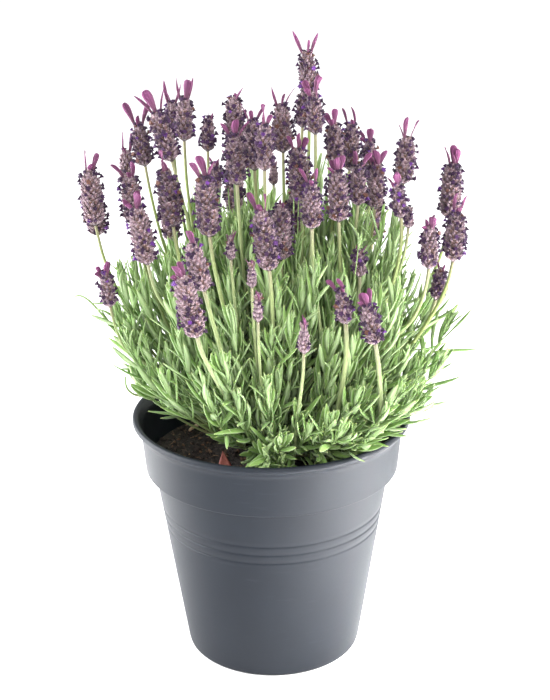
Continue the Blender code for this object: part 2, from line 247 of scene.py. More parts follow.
class Look:
    """A procedural material under construction."""

    def __init__(self, name):
        self.made = bpy.data.materials.new(name)
        self.made.use_nodes = True
        self.tree = self.made.node_tree
        self.shader = self.tree.nodes["Principled BSDF"]

    def add(self, kind, values=None, out=0, **settings):
        node = self.tree.nodes.new(kind)
        for key, value in settings.items():
            setattr(node, key, value)
        for place, value in (values or {}).items():
            self.put(node, place, value)
        return node.outputs[out]

    def put(self, node, place, value):
        """Links or sets one input of a node."""
        if isinstance(value, bpy.types.NodeSocket):
            self.tree.links.new(value, node.inputs[place])
        else:
            node.inputs[place].default_value = value

    @classmethod
    def of_blades(cls, name):
        """A look, and what a Shape marks on it: place along, nearness to the edge, underside and tone."""
        look = cls(name)
        grain = look.add("ShaderNodeAttribute", attribute_name="grain", out=1)
        along, look.across, under = (look.add("ShaderNodeSeparateXYZ", {0: grain}, out=i) for i in range(3))
        tone = look.add("ShaderNodeAttribute", attribute_name="tone", out=2)
        return look, along, look.sums("ABSOLUTE", look.across), under, tone

    def place(self, squash=(1, 1, 1)):
        where = self.add("ShaderNodeTexCoord", out=3)
        return self.add("ShaderNodeMapping", {0: where, 3: squash})

    def noise(self, scale, detail=3.0, rough=0.55, squash=(1, 1, 1), stretch=0.0):
        values = {"Scale": scale, "Detail": detail, "Roughness": rough, "Distortion": stretch}
        return self.add("ShaderNodeTexNoise", {"Vector": self.place(squash), **values})

    def sums(self, operation, a, b=0.0):
        return self.add("ShaderNodeMath", {0: a, 1: b}, operation=operation)

    def times(self, a, b):
        return self.sums("MULTIPLY", a, b)

    def spread(self, value, low, high, to_low=0.0, to_high=1.0):
        return self.add("ShaderNodeMapRange", {0: value, 1: low, 2: high, 3: to_low, 4: to_high})

    def blend(self, factor, a, b):
        a, b = ((*c, 1.0) if isinstance(c, tuple) else c for c in (a, b))
        return self.add("ShaderNodeMix", {0: factor, 6: a, 7: b}, out=2, data_type="RGBA")

    def mix(self, factor, a, b):
        """Starts the surface's colour, between a and b."""
        self.colour = self.blend(factor, a, b)

    def tint(self, factor, colour):
        """Takes the surface's colour towards another."""
        self.colour = self.blend(factor, self.colour, colour)

    def fade(self, value, low, high, to_low, to_high, colour):
        """Tints by to_low where value is low and by to_high where it is high."""
        self.tint(self.spread(value, low, high, to_low, to_high), colour)

    def finish(self, rough, bump, strength, depth, shine=0.5, sheen=0.0, glow=0.0, reach=(1.0, 0.2, 0.1)):
        """The material. depth is how deep its bumps go in millimetres, glow the share of light that goes into
        it and reach how far, in metres by colour."""
        normal = self.add("ShaderNodeBump", {"Strength": strength, "Distance": depth * MM, "Height": bump})
        for place, value in (
            ("Base Color", self.colour), ("Roughness", rough), ("Normal", normal),
            ("Specular IOR Level", shine), ("Sheen Weight", sheen),
            ("Subsurface Weight", glow), ("Subsurface Radius", reach),
        ):
            self.put(self.shader, place, value)
        return self.made


def leaf_look():
    """A green leaf: grey felt at its margins and underneath, a pale midrib, a darker foot and a dry tip."""
    look, along, edge, under, tone = Look.of_blades("lavender_leaf")
    look.mix(tone, (0.046, 0.120, 0.018), (0.185, 0.310, 0.080))
    look.tint(look.times(look.spread(look.noise(220.0, 4.0), 0.35, 0.68), 0.45), (0.20, 0.30, 0.10))
    felt = look.sums("MAXIMUM", look.times(look.spread(edge, 0.62, 1.0), 0.55), look.times(under, 0.75))
    look.tint(felt, (0.38, 0.47, 0.28))
    look.fade(edge, 0.0, 0.16, 0.35, 0.0, (0.30, 0.40, 0.16))
    look.fade(along, 0.0, 0.35, 0.45, 0.0, (0.09, 0.15, 0.03))
    look.fade(along, 0.9, 1.0, 0.0, 0.35, (0.38, 0.36, 0.13))
    fuzz = look.noise(2600.0, 3.0)
    rough = look.spread(fuzz, 0.3, 0.7, 0.5, 0.72)
    return look.finish(rough, fuzz, 0.35, 0.12, 0.22, 0.06, 0.12, (0.0009, 0.0016, 0.0004))


def shoot_look():
    """A leafy shoot: woody at its foot and green above."""
    look, along, _, _, _ = Look.of_blades("green_shoot")
    fibre = look.noise(900.0, 4.0, squash=(1, 1, 0.25))
    wood = look.blend(look.noise(500.0, 5.0), (0.075, 0.045, 0.025), (0.24, 0.16, 0.09))
    look.mix(fibre, (0.11, 0.19, 0.05), (0.27, 0.36, 0.15))
    look.fade(along, 0.1, 0.62, 1.0, 0.0, wood)
    return look.finish(0.75, fibre, 0.5, 0.25)


def stem_look():
    """A bare flower stem: four pale ribs, and a blush under the spike."""
    look, along, edge, _, tone = Look.of_blades("flower_stem")
    fibre = look.noise(1100.0, 4.0, squash=(1, 1, 0.18))
    pale = look.blend(tone, (0.15, 0.19, 0.035), (0.275, 0.325, 0.185))
    look.mix(look.spread(fibre, 0.3, 0.7), look.blend(0.6, pale, (0.09, 0.13, 0.025)), pale)
    look.fade(edge, 0.55, 1.0, 0.0, 0.4, (0.31, 0.37, 0.17))
    look.fade(along, 0.88, 1.0, 0.0, 0.55, (0.20, 0.13, 0.13))
    return look.finish(0.75, fibre, 0.45, 0.2, 0.2, 0.08, 0.08, (0.001, 0.0014, 0.0006))


def scale_look():
    """The broad cup-shaped bracts of the spike, with veins that fan out from their foot, a pale rim and
    painted shade towards their foot.
    """
    look, along, edge, _, tone = Look.of_blades("spike_scale")
    look.mix(tone, (0.034, 0.014, 0.024), (0.26, 0.165, 0.185))
    look.tint(look.spread(look.noise(260.0, 3.0), 0.4, 0.66), (0.13, 0.075, 0.055))
    fan = look.sums("ADD", look.times(look.across, 17.0), look.times(along, 2.0))
    look.tint(look.times(look.spread(look.sums("SINE", fan), 0.3, 1.0), 0.6), (0.035, 0.012, 0.028))
    rim = look.sums("MAXIMUM", look.spread(edge, 0.7, 1.0), look.spread(along, 0.8, 1.0))
    look.tint(look.times(rim, look.spread(tone, 0.05, 0.7, 0.30, 0.88)), (0.46, 0.34, 0.38))
    # painted shade: each scale darkens towards its foot, standing for the shade in the gaps between the
    # scales
    look.fade(along, 0.0, 0.55, 0.85, 0.0, (0.035, 0.014, 0.028))
    return look.finish(0.8, look.noise(3000.0, 3.0), 0.5, 0.15, 0.2, 0.12, 0.06, (0.001, 0.0005, 0.0008))


def calyx_look():
    """A ribbed, felted calyx with a dark mouth."""
    look, along, _, _, tone = Look.of_blades("calyx")
    look.mix(tone, (0.040, 0.020, 0.030), (0.27, 0.185, 0.205))
    rib = look.spread(look.sums("SINE", look.times(look.across, 14.0)), -0.2, 1.0)
    look.tint(look.times(rib, look.spread(tone, 0.05, 0.7, 0.22, 0.78)), (0.44, 0.34, 0.375))
    look.fade(along, 0.7, 1.0, 0.0, 0.6, (0.045, 0.015, 0.055))
    fuzz = look.noise(3400.0, 3.0)
    look.fade(fuzz, 0.45, 0.7, 0.0, 0.28, (0.36, 0.28, 0.30))
    return look.finish(0.9, fuzz, 0.7, 0.2, 0.2, 0.15)


def corolla_look():
    """A small open flower: by tone dark, fresh violet or withered brown."""
    look, along, _, _, tone = Look.of_blades("corolla")
    look.mix(look.spread(tone, 0.0, 0.55), (0.011, 0.004, 0.012), (0.034, 0.011, 0.042))
    look.tint(look.spread(tone, 0.62, 0.8), (0.09, 0.022, 0.17))
    look.tint(look.spread(tone, 0.9, 0.96), (0.085, 0.035, 0.018))
    look.fade(along, 0.0, 0.5, 0.45, 0.0, (0.095, 0.052, 0.10))
    look.fade(look.noise(1500.0, 2.0), 0.5, 0.75, 0.0, 0.5, (0.075, 0.018, 0.12))
    return look.finish(0.7, look.noise(2500.0, 2.0), 0.4, 0.15, 0.25, 0.05)


def bract_look():
    """The long coloured bracts on top of a spike: dark veins, a bright rim and a grey foot."""
    look, along, edge, _, tone = Look.of_blades("top_bract")
    look.mix(tone, (0.068, 0.025, 0.047), (0.165, 0.043, 0.116))
    look.fade(look.noise(300.0, 3.0), 0.35, 0.7, 0.0, 0.55, (0.104, 0.033, 0.085))
    vein = look.sums("COSINE", look.times(look.across, 10.0))
    look.fade(vein, 0.3, 1.0, 0.0, 0.75, (0.062, 0.014, 0.048))
    look.fade(edge, 0.62, 1.0, 0.0, 0.6, (0.30, 0.105, 0.225))
    look.fade(along, 0.1, 0.78, 0.92, 0.0, (0.090, 0.045, 0.062))
    return look.finish(0.7, look.noise(1800.0, 3.0), 0.35, 0.15, 0.12, 0.02, 0.1, (0.0012, 0.0004, 0.0008))


def core_look():
    look = Look("spike_core")
    look.mix(look.noise(700.0, 4.0), (0.020, 0.010, 0.016), (0.09, 0.05, 0.06))
    return look.finish(0.9, look.noise(1500.0, 3.0), 0.6, 0.3)


def bark_look(name, dark, pale, coarse):
    look = Look(name)
    fibre = look.noise(coarse, 6.0, 0.65, squash=(1, 1, 0.3), stretch=0.6)
    look.mix(look.spread(fibre, 0.3, 0.72), dark, pale)
    look.fade(look.noise(coarse * 3.0, 3.0), 0.6, 0.72, 0.0, 0.5, pale)
    return look.finish(0.85, fibre, 0.9, 0.6)


def pot_look():
    """Dark grey moulded plastic with a fine grain and faint scuffs."""
    look = Look("anthracite_plastic")
    look.mix(look.spread(look.noise(16.0, 3.0), 0.3, 0.7), (0.0062, 0.0084, 0.0130), (0.0076, 0.0104, 0.0156))
    scuffs = look.add("ShaderNodeTexNoise", {"Vector": look.place((1, 1, 9)), "Scale": 55.0, "Detail": 6.0})
    scuff = look.spread(scuffs, 0.62, 0.76, 0.0, 0.16)
    look.tint(scuff, (0.034, 0.039, 0.050))
    grain = look.noise(2400.0, 4.0, 0.6)
    rough = look.sums("ADD", look.spread(grain, 0.3, 0.7, 0.42, 0.54), look.times(scuff, 0.2))
    return look.finish(rough, grain, 0.22, 0.06, 0.18)


def soil_look(name, dark, middle, pale, pale_share):
    """Clumps from dark to middle, with a share of pale bits."""
    look = Look(name)
    look.mix(look.spread(look.noise(380.0, 7.0, 0.68), 0.32, 0.66), dark, middle)
    bits = look.add("ShaderNodeTexVoronoi", {"Vector": look.place(), "Scale": 900.0}, out=1)
    chance = look.add("ShaderNodeSeparateColor", {0: bits})
    look.tint(look.spread(chance, 1 - pale_share, 1.0, 0.0, 0.8), pale)
    return look.finish(0.95, look.noise(900.0, 6.0, 0.7), 1.0, 0.8)


def dry_look(name, dark, pale):
    """A dead leaf with a midrib and side veins."""
    look, along, edge, _, _ = Look.of_blades(name)
    look.mix(look.spread(look.noise(420.0, 5.0), 0.35, 0.68), dark, pale)
    side = look.sums("SINE", look.sums("ADD", look.times(edge, 9.0), look.times(along, 34.0)))
    vein = look.spread(edge, 0.0, 0.14, 0.6, 0.0)
    look.tint(look.sums("MAXIMUM", vein, look.spread(side, 0.55, 1.0, 0.0, 0.4)), pale)
    return look.finish(0.65, look.noise(1300.0, 4.0), 0.6, 0.3)


def floor_look():
    look = Look("studio_floor")
    look.mix(look.noise(3.0, 2.0), (0.86, 0.86, 0.86), (0.88, 0.88, 0.88))
    return look.finish(0.9, look.noise(400.0, 2.0), 0.05, 0.1, 0.1)


# ---------------------------------------------------------------- pot and soil

# Outline of a pot 85 in radius and 155 tall, as radius, height and how far each corner is rounded: outside
# from the middle of the underside up to the rolled lip, then down the inside.
LINE_RADIUS, LINE_HEIGHT = 85.0, 155.0
POT_LINE = (
    (0.0, 0.0, 0.0), (22.0, 0.0, 0.4), (24.0, 2.0, 0.4), (46.0, 2.0, 0.4), (48.0, 0.0, 0.4), (52.6, 0.0, 0.6),
    (53.9, 1.2, 0.6), (54.5, 3.6, 0.8),
    (66.84, 84.0, 0.4), (66.46, 84.8, 0.5), (67.39, 87.6, 1.2),
    (67.75, 89.9, 0.4), (67.37, 90.7, 0.5), (68.30, 93.5, 1.2),
    (68.65, 95.8, 0.4), (68.27, 96.6, 0.5), (69.20, 99.4, 1.2),
    (72.30, 119.6, 0.9), (72.2, 120.9, 0.5), (77.3, 121.0, 0.3), (77.7, 121.5, 0.3), (80.1, 147.2, 2.4),
    (83.3, 150.4, 1.5), (84.8, 151.9, 0.9), (85.0, 153.5, 0.8), (84.2, 154.7, 0.6), (83.3, 155.0, 0.5),
    (82.2, 154.8, 0.6), (81.2, 153.8, 0.9), (78.7, 148.5, 1.5), (76.1, 122.9, 0.4), (75.1, 122.1, 0.4),
    (71.1, 121.1, 0.4), (52.9, 3.6, 0.5), (0.0, 3.6, 0.0),
)
POT_SIDES, SOIL_SIDES, SOIL_RINGS = 208, 240, 90
ROUND_STEPS = 5
SHARP_FROM = math.radians(38)
DRAIN_HOLES = 8
DRAIN_RING, DRAIN_RADIUS = 35.0, 4.0

pot_low, pot_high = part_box("pot")
LIP_RADIUS, LIP_TOP = (pot_high.x - pot_low.x) / 2 / MM, pot_high.z / MM
POT_WIDE, POT_TALL = LIP_RADIUS / LINE_RADIUS, (pot_high.z - pot_low.z) / MM / LINE_HEIGHT
SOIL_TOP = box_mm("potting_soil")[1, 2]
# Middle height of the uneven soil, under the top of the CAD's.
SOIL_LEVEL = SOIL_TOP - 1.0
CRUMBS, CRUMB_REACH = 1500, 74.0
FIBRES, FIBRE_REACH = 90, 72.0


def rounded(line):
    """The outline's (radius, height) points with each corner turned into a small arc."""
    found = []
    points = np.array([p[:2] for p in line])
    for i, (x, y, reach) in enumerate(line):
        corner = np.array([x, y])
        if reach == 0.0:
            found.append(corner)
            continue
        into, onto = points[i - 1] - corner, points[i + 1] - corner
        a = corner + into * min(0.45, reach / np.linalg.norm(into))
        b = corner + onto * min(0.45, reach / np.linalg.norm(onto))
        for t in np.linspace(0, 1, ROUND_STEPS):
            found.append(a * (1 - t) ** 2 + corner * 2 * t * (1 - t) + b * t * t)
    return np.array(found)


def turned_object(name, line, sides, looks, lift=None):
    """A closed body: the (radius, height) outline, whose two ends lie on the axis, turned about Z."""
    angle = np.arange(sides) * math.tau / sides
    rings = line[1:-1]
    x = rings[:, 0, None] * np.cos(angle)
    y = rings[:, 0, None] * np.sin(angle)
    z = np.repeat(rings[:, 1, None], sides, 1)
    if lift is not None:
        z = lift(x, y, z)
    ends = [[0, 0, line[0, 1]], [0, 0, z[-1].mean()]]
    verts = np.concatenate([np.stack([x, y, z], -1).reshape(-1, 3), ends])
    quads = grid_faces(len(rings), sides)[0]
    k = np.arange(sides)
    last = (len(rings) - 1) * sides
    start = np.stack([np.full(sides, len(verts) - 2), (k + 1) % sides, k], 1)
    end = np.stack([np.full(sides, len(verts) - 1), last + k, last + (k + 1) % sides], 1)
    mesh = bpy.data.meshes.new(name)
    mesh.from_pydata((verts * MM).tolist(), [], quads.tolist() + start.tolist() + end.tolist())
    mesh.shade_smooth()
    return linked(name, mesh, looks)


def make_pot():
    """The turned pot, with its drain holes cut out."""
    line = rounded(POT_LINE) * [POT_WIDE, POT_TALL]
    pot = turned_object("grower_pot", line, POT_SIDES, [pot_look()])
    holes = Shape()
    for i in range(DRAIN_HOLES):
        turn = math.tau * (i + 0.5) / DRAIN_HOLES
        path = np.array([round_pot(turn, DRAIN_RING * POT_WIDE, height) for height in (-9.0, 9.0)])
        holes.add(*pipe(path, [DRAIN_RADIUS * POT_WIDE] * 2, 32), 0.5, 0)
    cutter = holes.make("drain_cutter", [])
    cut = pot.modifiers.new("drain_holes", "BOOLEAN")
    cut.operation, cut.solver, cut.object = "DIFFERENCE", "EXACT", cutter
    graph = bpy.context.evaluated_depsgraph_get()
    drained = bpy.data.meshes.new_from_object(pot.evaluated_get(graph))
    pot.modifiers.clear()
    pot.data = drained
    bpy.data.objects.remove(cutter)
    drained.set_sharp_from_angle(angle=SHARP_FROM)
    shown(pot, "pot_plastic", "pot")


def ground(x, y):
    """Unevenness of the soil's surface in millimetres."""
    big = 0.9 * np.sin(0.10 * x + 0.6) * np.cos(0.12 * y - 0.5) + 0.5 * np.sin(0.21 * x - 0.16 * y + 1.9)
    small = 0.45 * np.sin(0.9 * x + 1.3 * np.sin(0.7 * y)) * np.sin(0.8 * y + np.sin(0.6 * x))
    tiny = 0.25 * np.sin(2.3 * x + 2.0 * np.sin(1.9 * y)) * np.sin(2.1 * y + 1.7 * np.sin(2.2 * x))
    return big + small + tiny


def soil_height(x, y):
    return SOIL_LEVEL + ground(x, y)


def make_soil():
    """The soil fills the pot; its surface is uneven but for a calm edge along the wall."""
    inner = 76.1 * POT_WIDE - 0.35
    wall = [(0.0, 4.0), (52.4, 4.0), (70.7, 121.6), (74.8, 122.5), (inner, 123.0)]
    bed = [(radius, SOIL_LEVEL) for radius in (*np.linspace(inner - 0.2, 1.0, SOIL_RINGS), 0.0)]

    def lift(x, y, z):
        calm = np.clip((inner - np.hypot(x, y)) / 3.0, 0, 1)
        return np.where(z > SOIL_LEVEL - 0.5, z + calm * ground(x, y), z)

    dark, middle, pale = (0.008, 0.0064, 0.0058), (0.031, 0.0215, 0.018), (0.12, 0.08, 0.055)
    look = soil_look("potting_mix", dark, middle, pale, 0.12)
    shown(turned_object("soil_bed", np.array(wall + bed), SOIL_SIDES, [look], lift), "soil", "potting_soil")


def make_crumbs():
    """Loose crumbs, bark chips and fibres on the soil."""
    rng = np.random.default_rng(SEEDS["crumbs"])
    crumbs = Shape()
    radius = CRUMB_REACH * np.sqrt(rng.random(CRUMBS))
    turn = rng.random(CRUMBS) * math.tau
    size = rng.gamma(2.2, 0.42, CRUMBS).clip(0.35, 2.8)
    inwards = np.where(radius + size > CRUMB_REACH + 1, 0.93, 1.0)
    x, y = inwards * (radius * np.cos(turn), radius * np.sin(turn))
    middle = np.stack([x, y, soil_height(x, y) + 0.25 * size], 1)
    polar, around = np.linspace(0.25, math.pi - 0.25, 5)[:, None], np.arange(6) * math.tau / 6
    ball = np.sin(polar) * np.cos(around), np.sin(polar) * np.sin(around), -np.cos(polar)
    ball = np.stack(np.broadcast_arrays(*ball), -1)
    rough = 1 + 0.28 * rng.standard_normal((CRUMBS, 5, 6, 1)).clip(-1.6, 1.6)
    axes = unit(rng.standard_normal((CRUMBS, 3, 3)))
    stretch = rng.uniform(0.55, 1.35, (CRUMBS, 1, 1, 3))
    lumps = np.einsum("nrki,nij->nrkj", ball[None] * rough * stretch, np.linalg.qr(axes)[0])
    points = middle[:, None, None] + lumps * size[:, None, None, None]
    chips = rng.random(CRUMBS) < 0.16
    for look, pick in ((PEAT, ~chips), (CHIP, chips)):
        crumbs.add(points[pick], np.zeros(3), rng.random(pick.sum()), look)
    t = np.linspace(-0.5, 0.5, 6)
    for _ in range(FIBRES):
        r = FIBRE_REACH * math.sqrt(rng.random())
        a, bearing = rng.random() * math.tau, rng.random() * math.tau
        run = rng.uniform(2.5, 8.0)
        bow = rng.uniform(-1.5, 1.5) * (0.25 - t * t) * 4
        x = r * math.cos(a) * 0.95 + run * t * math.cos(bearing) - bow * math.sin(bearing)
        y = r * math.sin(a) * 0.95 + run * t * math.sin(bearing) + bow * math.cos(bearing)
        if np.hypot(x, y).max() < CRUMB_REACH + 0.5:
            path = np.stack([x, y, soil_height(x, y) + 0.45 + 0.3 * rng.random()], 1)
            thick = rng.uniform(0.16, 0.4) * np.array([0.5, 0.9, 1, 1, 0.8, 0.4])
            crumbs.add(*pipe(path, thick, 6), rng.random(1), CHIP)
    looks = [
        soil_look("peat_crumbs", (0.008, 0.0062, 0.0055), (0.043, 0.029, 0.024), (0.12, 0.080, 0.055), 0.1),
        soil_look("bark_chips", (0.05, 0.027, 0.015), (0.19, 0.11, 0.065), (0.34, 0.23, 0.14), 0.25),
    ]
    shown(crumbs.make("soil_crumbs", looks), "soil")


# ---------------------------------------------------------------- where the flowers are


def levels_of(node):
    """Centre and radius of each level ring of a flower's node, from the lowest up, in millimetres."""
    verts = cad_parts[node].data.vertices
    points = np.array([v.co for v in verts], float) / MM
    found = []
    for z in np.unique(np.round(points[:, 2], 2)):
        ring = np.unique(np.round(points[np.abs(points[:, 2] - z) < 0.011], 2), axis=0)
        centre = ring.mean(0)
        found.append((centre, np.linalg.norm(ring - centre, axis=1).max()))
    return found


# Flowers that the part has no node for: foot x, y, z, spike length, radius, bract height.
BUDS = (
    (-21.4, -45.0, 266.0, 13.0, 2.9, 4.0), (-9.7, -60.0, 254.5, 14.0, 2.8, 3.0),
    (-6.5, -75.0, 239.5, 15.0, 3.0, 3.0), (18.5, -86.0, 225.0, 17.0, 3.6, 5.0),
    (3.0, 45.0, 285.0, 13.0, 3.2, 3.0), (81.0, -10.0, 273.0, 11.0, 3.4, 0.0),
)


def flower_lines():
    """For each flower its bare stem's points, its spike's foot and tip, its bracts' top and its radius."""
    found = {}
    for node in sorted(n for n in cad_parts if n.startswith("flower_")):
        levels = levels_of(node)
        centres = np.array([centre for centre, _ in levels])
        found[node] = centres[:-9], centres[-9], centres[-4], centres[-1], max(r for _, r in levels[-9:-3])
    return found


FLOWERS = flower_lines()
HEADS = [(foot, tip, radius) for _, foot, tip, _, radius in FLOWERS.values()]
HEADS += [(np.array(bud[:3]), np.array(bud[:3]) + bud[3] * UP, bud[4]) for bud in BUDS]
# The loose bits lie open too.
HEADS += [(*box_mm(node), 5.0) for node in ("twig", "dry_leaf")]


# ---------------------------------------------------------------- leaves

LEAF_LINE = np.array([
    (0.0, 0.42), (0.12, 0.66), (0.32, 0.95), (0.58, 1.0), (0.80, 0.74), (0.94, 0.36), (1.0, 0.07),
])
# across, relief in half widths, depth in thicknesses: a shallow channel on top, rolled margins, a keel below
LEAF_CUT = np.array([
    (1.0, -0.16, 0.0), (0.52, 0.10, 0.5), (0.0, -0.10, 0.5), (-0.52, 0.10, 0.5), (-1.0, -0.16, 0.0),
    (0.0, -0.22, -0.5),
])
SMALL_LEAF_LINE = np.array([(0.0, 0.5), (0.3, 0.92), (0.62, 1.0), (0.88, 0.6), (1.0, 0.1)])
SMALL_LEAF = 13.0
LEAF_THICK = 0.42
HEAD_GAP = 0.9
# The pot's inside: its radius at the soil, how much it widens a millimetre of height, the gap to the lip.
WALL_FOOT, WALL_FLARE, RIM_GAP = 75.6, 0.17, 0.9
# The soil and the wall lie open on the left: no leaves left of OPEN_LEFT under a height that rises outwards.
OPEN_LEFT, OPEN_UNDER, OPEN_RISE = -32.0, 149.0, 0.4
# How far before a flower head, and before the twig, no leaf hangs.
CLEAR_AHEAD, TWIG_AHEAD = 85.0, 130.0
# Painted shade: the leaves right of RIGHT_FROM are made darker, by at most the amount given beside it, to
# stand for less light on the plant's right side.
RIGHT_FROM, RIGHT_SHADE = 40.0, 0.26
TWIG_BOX = box_mm("twig")
# From the plant to the eye of someone in front of it, who looks down at it.
TO_VIEWER = np.array([0.0, -math.cos(math.radians(21.0)), math.sin(math.radians(21.0))])
# Columns of a leaf's row.
ORIGIN, ALONG, NORMAL, LENGTH, CURL, TONE = slice(0, 3), slice(3, 6), slice(6, 9), 9, 11, 14


def along_leaf(rows, t):
    """The point at share t of each leaf's length."""
    length, curl = rows[:, LENGTH, None], rows[:, CURL, None]
    curl = np.where(np.abs(curl) < 1e-3, 1e-3, curl)
    bent = np.sin(curl * t) * rows[:, ALONG] + (1 - np.cos(curl * t)) * rows[:, NORMAL]
    return rows[:, ORIGIN] + length * bent / curl


def without(rows, shares, bad):
    """The leaves but those with a point, at one of the shares of their length, that is bad."""
    keep = np.ones(len(rows), bool)
    for share in shares:
        keep &= ~bad(along_leaf(rows, share))
    return rows[keep]


def split_view(off):
    """How far spots are ahead, towards the viewer, and their way beside the line of sight."""
    ahead = off @ TO_VIEWER
    return ahead, off - ahead[:, None] * TO_VIEWER


def clear_of_heads(rows):
    """Leaves without those that reach into a flower head or hang before it."""
    for foot, tip, radius in HEADS:
        axis = tip - foot
        flat = axis - (axis @ TO_VIEWER) * TO_VIEWER

        def bad(spots):
            spots = spots - foot
            share = np.clip(spots @ axis / (axis @ axis), 0, 1)
            near = np.linalg.norm(spots - share[:, None] * axis, axis=1) < radius + HEAD_GAP
            seen = spots @ flat / (flat @ flat)
            ahead, beside = split_view(spots - seen[:, None] * axis)
            hides = (np.linalg.norm(beside, axis=1) < 0.9 * radius) & (seen > 0) & (seen < 1.15)
            return near | (ahead > 0) & (ahead < CLEAR_AHEAD) & hides

        rows = without(rows, (0.2, 0.35, 0.55, 0.7, 0.85, 1.0), bad)
    return rows


def clear_of_twig(rows):
    """Leaves without those that hide the twig from the front."""
    low, high = TWIG_BOX

    def bad(spots):
        ahead, beside = split_view(spots - (low + high) / 2)
        x, y, z = np.abs(beside).T
        hides = (x < (high[0] - low[0]) / 2 + 2.5) & (np.hypot(y, z) < 4.6)
        return (ahead > 2.0) & (ahead < TWIG_AHEAD) & hides

    return without(rows, np.linspace(0, 1, 9), bad)


def clear_of_pot(rows, open_left):
    """Leaves without those that would cut into the pot or soil, hang low outside or cover the open soil."""
    def bad(spots):
        x, y, z = spots.T
        out = np.hypot(x, y)
        inner = WALL_FOOT + (z - SOIL_TOP) * WALL_FLARE
        wall = (out > inner) & (out < LIP_RADIUS + RIM_GAP) & (z < LIP_TOP + RIM_GAP)
        buried = (z < SOIL_TOP + 1.0) & (out < LIP_RADIUS)
        hanging = (out > LIP_RADIUS) & (z < LIP_TOP - 9.0)
        covers = open_left & (x < OPEN_LEFT) & (z < OPEN_UNDER + OPEN_RISE * (OPEN_LEFT - x))
        return wall | buried | hanging | covers

    return without(rows, (0.25, 0.5, 0.75, 1.0), bad)


class Leaves:
    """Leaves gathered before their mesh is made."""

    def __init__(self):
        self.rows = []

    def add(self, origin, along, normal, length, half, curl, sway, twist, tone):
        self.rows.append((*origin, *along, *normal, length, half, curl, sway, twist, tone))

    def into(self, shape, open_left=True):
        every = clear_of_twig(clear_of_heads(clear_of_pot(np.array(self.rows), open_left)))
        # painted shade on the plant's right side: a leaf's tone is darkened more the further right it is
        painted_shade = RIGHT_SHADE * np.clip((every[:, 0] - RIGHT_FROM) / 40.0, 0, 1)
        every[:, TONE] = np.clip(every[:, TONE] - painted_shade, 0, 1)
        small = every[:, LENGTH] < SMALL_LEAF
        for rows, line in ((every[small], SMALL_LEAF_LINE), (every[~small], LEAF_LINE)):
            if len(rows):
                frames = rows[:, ORIGIN], rows[:, ALONG], rows[:, NORMAL], *rows[:, LENGTH:TONE].T
                shape.add(*blades(*frames, line, LEAF_CUT, LEAF_THICK), rows[:, TONE], LEAF)


def grow_shoot(rng, shape, leaves, line, habit):
    """One leafy shoot along line. habit: leaf size, leaf width, paleness, how wide the leaves open, the space
    between leaf pairs, the length of shoot that carries leaves and how much they curl up."""
    size, wide, pale, opening, space, leafy, hook = habit
    steps = walked(line)
    total = steps[-1]
    thick = np.interp(np.linspace(0, 1, len(line)), [0, 0.5, 1], [1.25, 0.85, 0.3])
    shape.add(*pipe(line, thick * (0.85 + 0.3 * rng.random()), 6), rng.random(1), SHOOT)
    down = 0.4
    roll = rng.random() * math.tau
    mood = rng.random()

    def heading(turn, lean, lift):
        """A leaf's direction and the normal of its upper side."""
        along = unit(math.cos(lean) * axis + math.sin(lean) * round_axis(turn, a, b) + lift * UP)
        return along, square_to(along, axis)

    while down < min(leafy, total * 0.93):
        at = total - down
        spot, ahead, back = (on_path(far, steps, line) for far in (at, min(at + 2.0, total), at - 2.0))
        axis = unit(ahead - back)
        a = square_to(axis, UP + 0.01)
        b = np.cross(axis, a)
        grown = min(1.0, down / 16.0)
        open_angle = math.radians(9 + opening * min(1.0, down / 22.0))
        age = min(1.0, down / 75.0)
        for half_turn in (0.0, math.pi):
            turn = roll + half_turn + rng.normal(0, 0.22)
            way = heading(turn, open_angle * rng.uniform(0.6, 1.35), 0.10)
            length = size * (9.0 + 16.0 * grown) * rng.uniform(0.72, 1.22)
            half = wide * (0.85 + 0.60 * grown) * rng.uniform(0.78, 1.25)
            tone = np.clip(0.68 - 0.40 * age + 0.35 * (mood - 0.5) + rng.normal(0, 0.17) + pale, 0, 1)
            curl, sway, twist = rng.normal(hook, 0.42), rng.normal(0, 0.10), rng.normal(0, 0.55)
            leaves.add(spot, *way, length, half, curl, sway, twist, tone)
            # young leaves in the angle between the leaf and the shoot
            for _ in range(rng.integers(0, 3) if down > 7.0 else 0):
                way = heading(turn + rng.normal(0, 0.5), open_angle * rng.uniform(0.25, 0.95), 0.12)
                length, half = size * rng.uniform(5.5, 14.5), wide * rng.uniform(0.5, 0.85)
                curl, sway, twist = rng.normal(0.2, 0.3), rng.normal(0, 0.06), rng.normal(0, 0.3)
                young_tone = np.clip(tone + rng.normal(0.12, 0.12), 0, 1)
                leaves.add(spot + axis * 0.8, *way, length, half, curl, sway, twist, young_tone)
        roll += math.pi / 2 + rng.normal(0, 0.12)
        down += min(space, 2.2 + 0.30 * down) * rng.uniform(0.85, 1.15)


CROWN_HEIGHT = 132.0
MIDDLE_BRANCH = 31.0
PATH = np.linspace(0, 1, 26)

# Leaf size, leaf width, paleness, opening in degrees, space between pairs, leafy length, curl.
TALL_HABIT = (0.98, 1.06, 0.0, 23.0, 9.0, 118.0, 0.25)
# the back shoots' paleness is partly real grey felt and partly painted light: it makes the leaves at the top
# and back lighter, standing for the light that falls on them
BACK_HABIT = (1.02, 0.88, 0.34, 13.0, 9.5, 76.0, 0.1)
FILL_HABIT = (1.0, 1.32, 0.12, 44.0, 6.8, 40.0, 0.5)
STALK_HABIT = (0.95, 1.22, 0.10, 38.0, 9.0, 60.0, 0.4)
SIDE_HABIT = (1.0, 1.32, 0.02, 36.0, 8.8, 58.0, 0.35)
LOW_HABIT = (0.92, 1.30, 0.28, 50.0, 4.9, 28.0, 0.8)

TALL_SHOOTS, TALL_REACH = 138, (1.04 * 88.0, 0.84 * 88.0)
BACK_SHOOTS = 52
SIDE_SHOOTS = 60
LOW_SHOOTS = 46
FILL_SHOOTS = 24
